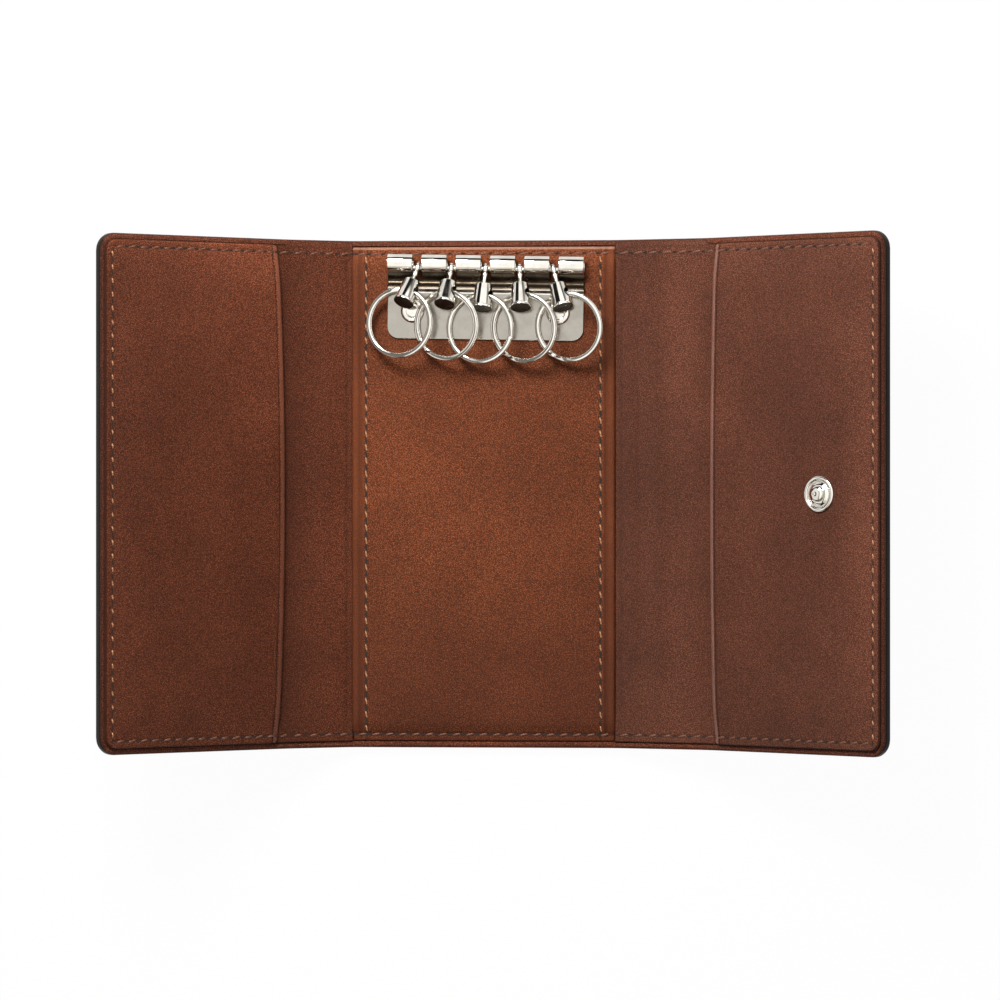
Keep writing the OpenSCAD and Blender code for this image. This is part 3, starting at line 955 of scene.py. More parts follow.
@dataclass
class Finishes:
    """Every finish of the case, made once."""

    groups: FinishGroups = field(default_factory=FinishGroups)

    def __post_init__(self) -> None:
        """Makes the materials."""
        g = self.groups
        self.outer = HideFinish("outer_hide_black", (0.018, 0.013, 0.011), (0.006, 0.005, 0.005),
                                matt=0.45, gloss=0.3, relief=0.5).make(g)
        # The wings and the hook panel are one leather; their tones differ as painted light, the
        # right wing's paler and greyer as a painted sheen.
        left = HideFinish("left_wing_hide", (0.192, 0.0525, 0.0225), (0.042, 0.011, 0.005))
        right = HideFinish("right_wing_hide", (0.190, 0.064, 0.035), (0.042, 0.013, 0.008),
                           pit=0.39, crown=2.12)
        centre = HideFinish("hook_panel_hide", (0.276, 0.072, 0.024), (0.052, 0.0125, 0.006),
                            gloss=0.36, specular=0.14)
        self.margin = HideFinish("margin_hide", (0.175, 0.052, 0.026), (0.026, 0.008, 0.005),
                                 specular=0.10).make(g)
        # The second finish of each wing lies along the pocket's mouth: the left is glossier only,
        # the right is also painted paler, a painted highlight on the mouth's ridge.
        self.wing = {Wing.LEFT: [left.make(g), left.polished(1.0, 0.3).make(g)],
                     Wing.RIGHT: [right.make(g), right.polished(1.38, 0.9).make(g)]}
        # The hook panel's side strips are glossier and darker; its top rim is glossier and painted
        # paler, (0.36, 0.15, 0.085), a painted highlight along the rim.
        rim = replace(centre, tone=(0.36, 0.15, 0.085)).polished(1.0, 0.6, "rim")
        self.centre = [centre.make(g), centre.polished(0.79, 0.12).make(g), rim.make(g)]
        self.paint = PaintFinish("black_edge_paint", (0.008, 0.006, 0.005),
                                 (0.016, 0.011, 0.008)).make(g)
        self.tan = ThreadFinish("tan_waxed_thread", (0.62, 0.34, 0.18),
                                (0.27, 0.12, 0.055)).make()
        self.brown = ThreadFinish("brown_waxed_thread", (0.190, 0.070, 0.034),
                                  (0.060, 0.021, 0.010)).make()
        # The awl holes are dark lenses of painted shade.
        self.hole = BoardFinish("awl_hole_dark", (0.006, 0.003, 0.002),
                                (0.014, 0.007, 0.004)).make()
        self.nickel = MetalFinish("bright_nickel", (0.80, 0.775, 0.72), (0.70, 0.67, 0.61),
                                  0.05, 0.12).make(g)
        self.satin = MetalFinish("satin_nickel", (0.385, 0.36, 0.32), (0.32, 0.295, 0.26),
                                 0.14, 0.24, 0.2).make(g)
        # Dark nickel for the channel under the knuckles, the tongues and the barrels' feet:
        # painted shade and a painted reflection of the leather.
        self.recess = MetalFinish("recess_nickel", (0.060, 0.046, 0.032), (0.025, 0.018, 0.012),
                                  0.25, 0.36).make(g)
        self.steel = MetalFinish("plain_steel", (0.50, 0.49, 0.47), (0.42, 0.41, 0.39),
                                 0.25, 0.4, 0.2).make(g)
        self.board = BoardFinish("fibre_board", (0.24, 0.21, 0.17), (0.14, 0.12, 0.10)).make()


# Sewing


class SewnStyle(Enum):
    """How a seam looks: thread and hole lengths as shares of the pitch, and their widths."""

    OPEN_HOLES = (0.60, 0.42, 0.46, 0.34)
    CLOSE_SET = (0.70, 0.34, 0.44, 0.52)
    DOTTED = (0.42, 0.40, 0.28, 0.36)

    @property
    def thread_share(self) -> float:
        """Share of the pitch that the thread shows."""
        return self.value[0]

    @property
    def hole_share(self) -> float:
        """Length of a hole as a share of the pitch."""
        return self.value[1]

    @property
    def hole_w(self) -> float:
        """Width of a hole in millimetres."""
        return self.value[2]

    @property
    def thread_w(self) -> float:
        """Width of the thread in millimetres."""
        return self.value[3]


@dataclass(frozen=True)
class Seam:
    """A row of stitches between two points of a sheet, with a dark lens of painted shade for each
    awl hole between them.
    """

    place: Placing
    height: Callable[[Array, Array], Array]
    first: tuple[float, float]
    last: tuple[float, float]
    pitch: float
    style: SewnStyle
    thread_h: float = 0.22
    slant: float = 13.0
    rings: int = 5
    around: int = 8
    hole_sides: int = 10
    hole_sunk: float = 0.08
    hole_t: float = 0.15

    def stations(self, share: float) -> tuple[Array, Array]:
        """Points along the seam: the stitch pitch apart, shifted by a share of the pitch."""
        (s0, y0), (s1, y1) = self.first, self.last
        length = math.hypot(s1 - s0, y1 - y0)
        count = max(int(length // self.pitch), 1)
        t = (np.arange(count) + share) / count
        return s0 + (s1 - s0) * t, y0 + (y1 - y0) * t

    def axes_at(self, s: Array, y: Array, slant: float) -> tuple[Array, Array, Array, Array]:
        """Origin and directions on the leather at each station.

        The directions are differences of the placing over a small step along the seam and
        across it, and the seam's own direction is turned by the slant in the surface.

        Args:
            s: Position outwards.
            y: Position up the case.
            slant: Turn of a stitch in degrees.

        Returns:
            Origin, direction along, direction across and normal.
        """
        (s0, y0), (s1, y1) = self.first, self.last
        length = math.hypot(s1 - s0, y1 - y0)
        us, uy = (s1 - s0) / length, (y1 - y0) / length
        tiny = 0.05
        h = self.height(s, y)
        at = self.place(s, y, h)
        along = unit(self.place(s + us * tiny, y + uy * tiny, h) - at)
        up = unit(self.place(s, y, h + tiny) - at)
        across = unit(np.cross(up, along))
        c, k = math.cos(math.radians(slant)), math.sin(math.radians(slant))
        return at, along * c + across * k, across * c - along * k, up

    def threads(self) -> Solid:
        """Every stitch: a rounded arch of thread.

        At t from -1 to 1 along a stitch, its half width and height are those of the thread
        times sqrt(1 - 0.85 t^2), and its base sinks by 0.6 of the height times t^4.

        Returns:
            All stitches as one solid.
        """
        t = np.linspace(-1.0, 1.0, self.rings)
        turn = np.linspace(0.0, 2.0 * math.pi, self.around, endpoint=False)
        slim = np.sqrt(1.0 - 0.85 * t * t)
        x = np.broadcast_to((t * self.pitch * self.style.thread_share / 2)[:, None],
                            (self.rings, self.around))
        y = slim[:, None] * self.style.thread_w / 2 * np.cos(turn)
        z = slim[:, None] * self.thread_h * (0.35 + 0.65 * np.sin(turn))
        z = z - (0.6 * self.thread_h * t ** 4)[:, None]
        shape = np.stack([x, y, z], -1).reshape(-1, 3)
        k = np.arange(self.around)
        body = grid_faces(self.rings, self.around, wrap_columns=True)
        caps = np.stack([k[::-1], (self.rings - 1) * self.around + k])
        return self.stamped(shape, (body[:, ::-1], caps[:, ::-1]), 0.5, self.slant, 0)

    def holes(self) -> Solid:
        """Every awl hole as painted shade: a thin dark lens between two stitches, just proud of
        the leather.

        Returns:
            All holes as one solid.
        """
        n = self.hole_sides
        turn = np.linspace(0.0, 2.0 * math.pi, n, endpoint=False)
        half_l = self.pitch * self.style.hole_share / 2
        rim = np.stack([half_l * np.cos(turn), self.style.hole_w / 2 * np.sin(turn),
                        np.full(n, -self.hole_sunk)], 1)
        shape = np.concatenate([rim, rim + [0.0, 0.0, self.hole_t]])
        k = np.arange(n)
        side = np.stack([k, (k + 1) % n, n + (k + 1) % n, n + k], 1)
        return self.stamped(shape, (side, np.stack([k[::-1], n + k])), 0.0, self.slant * 0.5, 1)

    def stamped(self, shape: Array, parts: Sequence[Array], share: float, slant: float,
                finish: int) -> Solid:
        """A small shape repeated at every station.

        Args:
            shape: Its points, along, across and up.
            parts: Its faces, an array for each number of corners.
            share: Shift of the stations by a share of the pitch.
            slant: Turn of the shape in degrees.
            finish: Number of its finish.

        Returns:
            All the copies as one solid.
        """
        at, along, across, up = self.axes_at(*self.stations(share), slant)
        points = (at[:, None] + shape[None, :, :1] * along[:, None]
                  + shape[None, :, 1:2] * across[:, None] + shape[None, :, 2:] * up[:, None])
        shift = (np.arange(len(points)) * len(shape))[:, None, None]
        faces = [(part[None] + shift).reshape(-1, part.shape[1]) for part in parts]
        return Solid(points.reshape(-1, 3), faces, [np.full(len(f), finish) for f in faces])


# The case


@dataclass(frozen=True)
class CaseSizes:
    """Sizes of the case in millimetres that its leather pieces share."""

    case_h: float
    centre_half: float
    side_w: dict[Wing, float]
    flap_w: float
    cover_t: float
    margin: float
    lining_t: float = 0.9
    pocket_t: float = 0.9
    pocket_floor: float = 1.2
    corner_r: float = 3.8
    lip: float = 0.42
    edge_roll: float = 0.34
    pitch: float = 2.87
    stitch_inset: float = 2.9
    column_inset: float = 2.38

    @property
    def outer_margin(self) -> float:
        """Width of the hide left bare along the outer ends of the wings."""
        return self.margin - 0.35

    @property
    def half_h(self) -> float:
        """Half the height of the case."""
        return self.case_h / 2

    @property
    def panel_half(self) -> float:
        """Half the height of the linings and panels."""
        return self.half_h - self.margin

    @staticmethod
    def read(reader: FrameReader) -> "CaseSizes":
        """The sizes that the frame holds.

        Args:
            reader: Reader of the frame.

        Returns:
            The sizes.
        """
        centre = reader.size("outer_cover_centre")
        inner = {w: abs(reader.pivot(f"{w.word}_side_fold")[0]) for w in Wing}
        widths = {w: float(np.linalg.norm(reader.pivot(f"{w.word}_flap_fold")
                                          - reader.pivot(f"{w.word}_side_fold"))) for w in Wing}
        cover_t = float(reader.pivot("left_side_fold")[2])
        steep = math.radians(-reader.lowest("right_side_fold") - reader.lowest("right_flap_fold"))
        reach = reader.high("outer_cover_right_flap")[0] - reader.pivot("right_flap_fold")[0]
        return CaseSizes(case_h=float(centre[1]), centre_half=float(inner[Wing.LEFT]),
                         side_w=widths, cover_t=cover_t,
                         flap_w=float((reach - cover_t * math.sin(steep)) / math.cos(steep)),
                         margin=float(centre[1] - reader.size("hook_panel")[1]) / 2)

    def flap_bend(self, wing: Wing) -> tuple[float, float]:
        """Where on a wing's path the bend at the flap's fold starts and stops."""
        return self.side_w[wing] - FLAP_BEND_HALF, self.side_w[wing] + FLAP_BEND_HALF

    def path(self, wing: Wing, reader: FrameReader) -> WingPath:
        """The path of one wing's inner face.

        Args:
            wing: Which wing.
            reader: Reader of the frame.

        Returns:
            The path.
        """
        return WingPath(wing, self.centre_half, self.side_w[wing], self.cover_t,
                        -reader.lowest(f"{wing.word}_side_fold"),
                        -reader.lowest(f"{wing.word}_flap_fold"))

    def lines_up(self, half: float, zones: Sequence[tuple[float, float, float]],
                 coarse: float = 2.6) -> Array:
        """Grid lines up the case, fine near the top and bottom.

        Args:
            half: Half the height of the sheet.
            zones: Fine zones by distance from either end.
            coarse: Largest step.

        Returns:
            The lines as shares of the half height.
        """
        both = [(half - high, half - low, step) for low, high, step in zones]
        both += [(low - half, high - half, step) for low, high, step in zones]
        return graded(-half, half, both, coarse) / half


# Where a wing's path bends at its first fold, and half of the bend at its second
SIDE_BEND = (0.0, 4.2)
FLAP_BEND_HALF = 2.4
# Fine grid lines at the ends of linings and panels: from, to and step; then the step between
END_ZONES = ((0.0, 0.4, 0.07), (0.4, 2.4, 0.2))
END_COARSE = 2.2
# Half the width of a stitched trench, and the gap between two sheets that lie together
STITCH_HALF = 0.55
CLEARANCE = 0.012
# A pocket's mouth: its distance from the fold, its bow, and its crease line's distance from it
MOUTH = {Wing.LEFT: 2.0, Wing.RIGHT: 2.1}
MOUTH_BOW = {Wing.LEFT: 1.6, Wing.RIGHT: 1.0}
MOUTH_CREASE = {Wing.LEFT: 1.5, Wing.RIGHT: 1.4}
COVER_WALL = Wall(depth=(0.03, 0.08, 0.17, 0.36, 0.62, 0.84, 0.95),
                  swell=(0.45, 0.74, 0.94, 1.0, 1.0, 1.0, 0.8),
                  finish=(0, 0, 1, 1, 1, 1, 1, 2), reach=0.36)
PLAIN_WALL = Wall()
SHEER_WALL = Wall(reach=0.0)


def just_clear(a: Array, y: Array, inset: Array) -> Array:
    """The underside of a sheet that lies on another one, a hair above it."""
    return np.full_like(a, CLEARANCE)


@dataclass(frozen=True)
class Wear:
    """A soft oval of painted light, where the hide is painted paler, and of painted shade, darker,
    where the amount is negative.
    """

    a: float
    y: float
    half_a: float
    half_y: float
    amount: float

    def at(self, a: Array, y: Array) -> Array:
        """The amount times a bell curve over a and y."""
        return self.amount * np.exp(-((a - self.a) / self.half_a) ** 2
                                    - ((y - self.y) / self.half_y) ** 2)


# Patches of painted light and shade on each side, flap and the hook panel: a positive amount
# paints the hide paler where light falls, a negative one darker where shade falls.
SIDE_PAINTED_LIGHT = {
    Wing.LEFT: (Wear(4.5, 0.0, 5.0, 70.0, 0.26), Wear(10.0, 53.0, 12.0, 14.0, 0.2),
                Wear(15.6, -8.0, 3.2, 50.0, -0.30), Wear(11.0, -55.0, 12.0, 12.0, -0.22)),
    Wing.RIGHT: (Wear(3.0, -2.0, 3.0, 62.0, -0.24), Wear(9.9, 0.0, 1.9, 60.0, -0.14),
                 Wear(15.6, 40.0, 6.0, 24.0, 0.36), Wear(16.0, -44.0, 7.0, 18.0, 0.24)),
}
FLAP_PAINTED_LIGHT = {
    Wing.LEFT: (Wear(20.0, 52.0, 21.0, 36.0, 0.78), Wear(42.0, 55.0, 60.0, 4.0, 0.6),
                Wear(19.0, -8.0, 6.0, 60.0, 0.14)),
    Wing.RIGHT: (Wear(45.0, 0.0, 11.0, 46.0, -0.17), Wear(65.5, 4.0, 5.0, 62.0, 0.32),
                 Wear(27.0, 36.0, 9.0, 26.0, 0.18), Wear(32.0, -54.0, 22.0, 9.0, -0.20),
                 Wear(42.0, 55.0, 60.0, 3.5, 0.3)),
}
PANEL_PAINTED_LIGHT = (Wear(-12.0, 2.0, 18.0, 30.0, 0.16), Wear(16.0, 53.5, 24.0, 4.5, 0.42),
              Wear(-16.0, 53.5, 24.0, 4.5, 0.42), Wear(0.0, -55.0, 40.0, 12.0, -0.08))


def worn(patches: Sequence[Wear], a: Array, y: Array) -> Array:
    """The sum of several patches of painted light and shade."""
    return sum(patch.at(a, y) for patch in patches)


@dataclass
class OuterHide:
    """The outer hide: one piece of leather over the back, in two pieces a wing."""

    sizes: CaseSizes
    finishes: Finishes
    reader: FrameReader
    lip_slope: tuple[float, float] = (1.12, 1.45)
    rim_r: float = 0.3
    back_r: float = 0.4
    hole_r: float = 2.62
    hole_floor: float = 0.35

    def top(self, a: Array, y: Array, inset: Array) -> Array:
        """Inner face: flat, with a raised lip round the outline and a rounded rim.

        The lip is its height times a smooth fall over its slope, by distance from the edge,
        and the rim drops by 0.6 of a rounded edge of its radius.
        """
        edge = inset + self.sizes.edge_roll
        lip = self.sizes.lip * (1.0 - smooth01(edge, *self.lip_slope))
        return lip - eased(inset, self.rim_r) * 0.6

    def bottom(self, a: Array, y: Array, inset: Array) -> Array:
        """Outer face: the thickness below the inner one, rounded at the rim."""
        return -self.sizes.cover_t + eased(inset, self.back_r) * 0.3

    def press(self, a: Array, y: Array, inset: Array) -> Array:
        """Painted shade in the groove beside the lip and at the paint, painted light along the top
        and bottom.
        """
        edge = inset + self.sizes.edge_roll
        ends = smooth01(self.sizes.half_h - np.abs(y), 1.2, 2.2)
        return np.clip(0.85 * smooth01(edge, 1.18, 1.4) + 0.22 - 0.75 * (1.0 - ends)
                       + 0.4 * (1.0 - smooth01(inset, 0.0, 0.15)), -1, 1)

    def build(self, wing: Wing, path: WingPath) -> None:
        """Makes both pieces of one wing.

        Args:
            wing: Which wing.
            path: Its path.
        """
        z, side_w, word = self.sizes, self.sizes.side_w[wing], wing.word
        half = z.half_h - z.edge_roll
        lines_t = z.lines_up(half, [(0.0, 1.5, 0.11), (1.5, 4.0, 0.35)])
        outer_stop = side_w + z.flap_w - z.edge_roll
        spans = {
            "outer": (Outline(side_w / 2, outer_stop, half, z.corner_r - z.edge_roll,
                              seam_start=True),
                      [(side_w - 3, side_w + 3, 0.35), (outer_stop - 1.5, outer_stop, 0.11),
                       (outer_stop - 4, outer_stop, 0.28)]),
            "inner": (Outline(-z.centre_half, side_w / 2, half, seam_start=True, seam_stop=True),
                      [(-2.5, 4.5, 0.35)]),
        }
        for name, (outline, zones) in spans.items():
            sheet = Sheet(outline, path.place, self.top, self.bottom,
                          graded(outline.start, outline.stop, zones, 2.6), lines_t,
                          COVER_WALL, self.press, bottom_finish=2)
            piece = sheet.solid().to_object(f"outer_hide_{word}_{name}", [
                self.finishes.margin, self.finishes.paint, self.finishes.outer])
            if name == "outer":
                if wing is Wing.LEFT:
                    self.cut_socket_hole(piece)
                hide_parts(f"outer_cover_{word}_flap", f"outer_cover_{word}_side")
                blend_over(piece, path, f"{word}_side", f"{word}_flap", *z.flap_bend(wing))
            else:
                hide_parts("outer_cover_centre", f"outer_cover_{word}_side")
                blend_over(piece, path, "centre", f"{word}_side", *SIDE_BEND)

    def cut_socket_hole(self, piece: bpy.types.Object) -> None:
        """Cuts the hole that the snap socket's barrel sits in.

        Args:
            piece: The outer hide of the left flap.
        """
        middle, axes = disc_place(self.reader, "snap_socket", Wing.LEFT, False)
        r, depth = self.hole_r, self.sizes.cover_t - self.hole_floor
        tool = turned(np.array([[0.0, -0.5], [r, -0.5], [r, depth], [0.0, depth]]), 40)
        cut(piece, tool.set_on(middle, axes).to_object("socket_hole_tool", [self.finishes.outer]))


def disc_place(reader: FrameReader, node: str, wing: Wing,
               foot_down: bool) -> tuple[Array, list[Array]]:
    """Where a round fitting's flange sits on a flap, worked out from the fitting's box.

    The flange's radius r is half the box along y. With the flap leaning by an angle t, the
    flange's rim reaches r cos t sideways and r sin t up and down from its middle, so the
    middle lies that far in from the box's outer side and from its bottom or top.

    Args:
        reader: Reader of the frame.
        node: The fitting's node.
        wing: The wing that it is on.
        foot_down: Whether the flange is the fitting's lowest part, else its highest.

    Returns:
        The middle of the flange, and its axes with the flap's inward normal as the third.
    """
    word = wing.word
    steep = math.radians(-reader.lowest(f"{word}_side_fold") - reader.lowest(f"{word}_flap_fold"))
    low, high = reader.low(node), reader.high(node)
    r = (high[1] - low[1]) / 2
    x = high[0] - r * math.cos(steep)
    z = low[2] + r * math.sin(steep) if foot_down else high[2] - r * math.sin(steep)
    up = np.array([-wing.value * math.sin(steep), 0.0, math.cos(steep)])
    side = unit(np.cross([0.0, 1.0, 0.0], up))
    return np.array([x, (low[1] + high[1]) / 2, z]), [side, np.cross(up, side), up]


def cut(piece: bpy.types.Object, tool: bpy.types.Object) -> None:
    """Takes a tool's space out of a piece with Blender's exact boolean, and removes the tool.

    Args:
        piece: The piece to cut.
        tool: The shape to take away.
    """
    modifier = piece.modifiers.new("cut", "BOOLEAN")
    modifier.operation, modifier.solver, modifier.object = "DIFFERENCE", "EXACT", tool
    bpy.context.view_layer.update()
    deps = bpy.context.evaluated_depsgraph_get()
    mesh = bpy.data.meshes.new_from_object(piece.evaluated_get(deps), depsgraph=deps)
    piece.modifiers.clear()
    old, piece.data = piece.data, mesh
    bpy.data.meshes.remove(old)
    bpy.data.objects.remove(tool)
    mesh.set_sharp_from_angle(angle=math.radians(40.0))


def blend_over(piece: bpy.types.Object, path: WingPath, inner: str, outer: str,
               start: float, stop: float) -> None:
    """Bakes a piece's placing into its mesh; the ends of the bend are worked out but not used, so
    the piece does not bend across the fold.

    Args:
        piece: The piece.
        path: The wing's path.
        inner: Body before the fold; not used.
        outer: Body after it; not used.
        start: Where on the path the bend starts.
        stop: Where it ends.
    """
    ends = path.place(np.array([start, stop]), np.zeros(2), np.zeros(2)) * MM
    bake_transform(piece)


@dataclass
class Linings:
    """The lining of a side and its flap, in two pieces."""

    sizes: CaseSizes
    finishes: Finishes
    ripples: dict[Wing, tuple[tuple[float, float, float], ...]] = field(default_factory=lambda: {
        Wing.LEFT: ((7.0, 4.0, 0.22),),
        Wing.RIGHT: ((3.0, 2.4, -0.42), (6.6, 2.0, 0.42), (9.6, 1.8, -0.34), (13.0, 2.4, 0.36),
                     (17.4, 2.2, -0.28))})

    def top_for(self, wing: Wing) -> Callable[[Array, Array, Array], Array]:
        """The top height of a wing's lining.

        It is the lining's thickness with a rounded edge, a shallow trench along the stitches,
        soft ripples along the fold, and at the top of the side a fall to the hide's lip.

        Args:
            wing: Which wing.

        Returns:
            The height as a function of position and inset.
        """
        z = self.sizes
        side_w = z.side_w[wing]

        def top(a: Array, y: Array, inset: Array) -> Array:
            """Height at a, y and inset."""
            rest = z.lining_t - eased(inset, 0.3)
            rest = rest - 0.10 * dent(inset, z.stitch_inset - z.margin, STITCH_HALF)
            for at, half_w, deep in self.ripples[wing]:
                wave = deep * dent(a + 0.6 * np.sin(y / 21.0), at, half_w)
                wave = wave * (0.75 + 0.25 * np.sin(y / 13.0 + at))
                rest = rest + wave * smooth01(inset, 1.0, 6.0)
            upper = smooth01(y, z.panel_half - 0.6, z.panel_half + 0.9)
            return rest - upper * 0.40 * (1.0 - smooth01(a, side_w - 0.4, side_w + 1.0))

        return top

    def press_for(self, wing: Wing) -> Callable[[Array, Array, Array], Array]:
        """Painted shade on a lining: at the rim, at the stitches and under the pocket's mouth,
        with patches of painted light and shade.
        """
        z = self.sizes

        def press(a: Array, y: Array, inset: Array) -> Array:
            """Painted shade at a, y and inset."""
            mouth = z.side_w[wing] + MOUTH[wing] + MOUTH_BOW[wing] * (y / z.panel_half) ** 2
            return np.clip(0.8 * (1.0 - smooth01(inset, 0.0, 0.25))
                           + 0.8 * smooth01(a, mouth - 0.5, mouth)
                           + 0.22 * dent(inset, z.stitch_inset - z.margin, 0.6)
                           - worn(SIDE_PAINTED_LIGHT[wing], a, y), -1, 1)

        return press

    def build(self, wing: Wing, path: WingPath) -> dict[str, Sheet]:
        """Makes both pieces of one wing.

        Args:
            wing: Which wing.
            path: Its path.

        Returns:
            The two sheets by name.
        """
        z, side_w, word = self.sizes, self.sizes.side_w[wing], wing.word
        lines_t = z.lines_up(z.panel_half, END_ZONES, END_COARSE)
        stop = side_w + z.flap_w - z.outer_margin
        corner = z.corner_r - z.margin
        outlines = {
            "outer": Outline(side_w / 2, stop, z.panel_half, corner, seam_start=True,
                             top_extra=1.1, extra_stop=side_w + 1.2),
            "inner": Outline(0.05, side_w / 2, z.panel_half, seam_stop=True, top_extra=1.1),
        }
        zones = {"outer": [(side_w - 3, side_w + 4, 0.3), (stop - 0.4, stop, 0.08),
                           (stop - 2.5, stop, 0.3)],
                 "inner": [(0.0, 0.5, 0.08), (0.5, 5.0, 0.3)]}
        sheets = {}
        for name, outline in outlines.items():
            sheet = Sheet(outline, path.place, self.top_for(wing),
                          just_clear,
                          graded(outline.start, outline.stop, zones[name], 1.0), lines_t,
                          PLAIN_WALL, self.press_for(wing))
            piece = sheet.solid().to_object(f"{word}_lining_{name}",
                                            self.finishes.wing[wing][:1])
            if name == "outer":
                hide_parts(f"{word}_flap_lining", f"{word}_side_lining")
                blend_over(piece, path, f"{word}_side", f"{word}_flap", *z.flap_bend(wing))
            else:
                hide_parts(f"{word}_side_lining")
                blend_over(piece, path, "centre", f"{word}_side", *SIDE_BEND)
            sheets[name] = sheet
        return sheets


@dataclass
class PocketPanel:
    """A flap's pocket panel, sewn down on three sides and open towards the fold."""

    sizes: CaseSizes
    finishes: Finishes
    pressed: float = 0.62

    def build(self, wing: Wing, path: WingPath) -> Sheet:
        """Makes the panel of one wing.

        Its top is full in the middle, pressed down towards the sewn edges by a smooth rise
        over 0.8 to 9 mm, rounded at the rim, with a trench along the stitches and a crease line
        along the mouth.

        Args:
            wing: Which wing.
            path: Its path.

        Returns:
            The sheet.
        """
        z, side_w, word = self.sizes, self.sizes.side_w[wing], wing.word
        start, stop = side_w + MOUTH[wing], side_w + z.flap_w - z.outer_margin
        corner = z.corner_r - z.margin
        outline = Outline(start, stop, z.panel_half, corner, corner * 0.5, MOUTH_BOW[wing])
        full = z.pocket_floor + z.pocket_t
        crease = MOUTH_CREASE[wing]

        def top(a: Array, y: Array, inset: Array) -> Array:
            """Height at a, y and inset."""
            sewn = outline.inset(a, y, start_too=False)
            rest = full - self.pressed * (1.0 - smooth01(sewn, 0.8, 9.0)) - eased(inset, 0.32)
            rest = rest - eased(a - start, 0.75) * 0.6
            rest = rest - 0.11 * dent(sewn, z.stitch_inset - z.margin, STITCH_HALF)
            rest = rest - 0.26 * dent(a, start + crease, 0.30)
            return rest + 0.05 * np.sin(a / 9.0 + y / 31.0) * smooth01(sewn, 2.0, 12.0) - 0.05

        def bottom(a: Array, y: Array, inset: Array) -> Array:
            """The open floor of the pocket, down on the lining round the sewn edges."""
            sewn = outline.inset(a, y, start_too=False)
            return z.lining_t + 0.02 + 0.28 * smooth01(sewn, 2.2, 3.4)

        def press(a: Array, y: Array, inset: Array) -> Array:
            """Painted shade in the crease and at the rim, a little along the stitches, with
            patches of painted light and shade.
            """
            sewn = outline.inset(a, y, start_too=False)
            return np.clip(dent(a, start + crease, 0.24) + 0.8 * (1 - smooth01(inset, 0, 0.16))
                           + 0.22 * dent(sewn, z.stitch_inset - z.margin, 0.6)
                           - worn(FLAP_PAINTED_LIGHT[wing], a, y), -1, 1)

        lines_a = graded(start, stop, [(start, start + 0.4, 0.07), (start + 0.4, start + 1.5, 0.1),
                                       (start + 1.5, start + 2.1, 0.15),
                                       (stop - 0.4, stop, 0.07), (stop - 2.6, stop, 0.22)], 1.8)
        lines_t = z.lines_up(z.panel_half, END_ZONES, END_COARSE)
        # The strip along the mouth takes the wing's second finish, on the right wing painted paler
        # as a painted highlight on the mouth's ridge.
        sheet = Sheet(outline, path.place, top, bottom, lines_a, lines_t, PLAIN_WALL, press,
                      strip=lambda a, y: a < start + crease - 0.2)
        piece = sheet.solid().to_object(f"{word}_pocket_panel", self.finishes.wing[wing])
        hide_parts(f"{word}_pocket")
        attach(piece, f"{word}_flap")
        return sheet


@dataclass
class HookPanel:
    """The raised leather panel of the centre section, folded round its long edges."""

    sizes: CaseSizes
    finishes: Finishes
    reader: FrameReader
    bead_r: float = 0.8
    column_inset: float = 3.2
    row_pitch: float = 2.87
    crease: float = 1.95
    smooth_side: float = 2.7
    rim_band: float = 0.62

    def build(self) -> Sheet:
        """Makes the panel.

        Its top is flat at full height, falls towards both ends where the board stops, drops
        in a quarter circle along its long edges, has a crease outside each stitch column and
        a trench under the stitches, and sinks over the lowest 11 mm.

        Returns:
            The sheet.
        """
        z = self.sizes
        half_w = z.centre_half
        full = float(self.reader.high("hook_panel")[2]) - z.cover_t
        outline = Outline(-half_w, half_w, z.panel_half)

        def top(a: Array, y: Array, inset: Array) -> Array:
            """Height at a, y and inset."""
            side, end = half_w - np.abs(a), z.panel_half - np.abs(y)
            rest = full - eased(side, self.bead_r) - eased(end, 0.5)
            rest = rest - 0.70 * (1.0 - smooth01(end, 0.4, 4.4))
            rest = rest - 0.26 * dent(side, self.crease, 0.7) * smooth01(end, 0.2, 1.2)
            rest = rest - 0.16 * dent(side, self.column_inset, 0.60)
            rest = rest - 0.14 * dent(end, z.stitch_inset - z.margin, 0.7)
            return rest - 0.55 * smooth01(-y, z.panel_half - 11.0, z.panel_half) ** 2

        def press(a: Array, y: Array, inset: Array) -> Array:
            """Painted shade in the creases, beside the stitches, down the rim and towards the
            bottom, with patches of painted light and shade.
            """
            side, end = half_w - np.abs(a), z.panel_half - np.abs(y)
            return np.clip(0.3 * dent(side, self.crease, 0.6)
                           + 0.4 * dent(side, self.column_inset, 0.45)
                           + 0.34 * smooth01(-y, 5.0, z.panel_half)
                           + 0.2 * dent(end, z.stitch_inset - z.margin, 0.5)
                           + 0.7 * (1 - smooth01(np.minimum(side, end), 0.0, 0.2))
                           - worn(PANEL_PAINTED_LIGHT, a, y), -1, 1)

        zones = [(-half_w, -half_w + 1.0, 0.09), (half_w - 1.0, half_w, 0.09),
                 (-half_w + 1.0, -half_w + 3.8, 0.1), (half_w - 3.8, half_w - 1.0, 0.1)]
        lines_a = graded(-half_w, half_w, zones, 2.0)
        lines_t = z.lines_up(z.panel_half, [(0.0, 0.4, 0.07), (0.4, 2.2, 0.16)], END_COARSE)
        # The top rim band takes the third finish, painted paler as a painted highlight along the
        # rim; the side strips take the darker second finish.
        sheet = Sheet(outline, CentrePlace(z.cover_t).place, top,
                      just_clear, lines_a, lines_t, SHEER_WALL, press,
                      strip=lambda a, y: np.where(z.panel_half - y < self.rim_band, 2,
                                                  half_w - np.abs(a) < self.smooth_side))
        piece = sheet.solid().to_object("hook_panel_hide", self.finishes.centre)
        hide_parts("hook_panel")
        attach(piece, "centre")
        return sheet


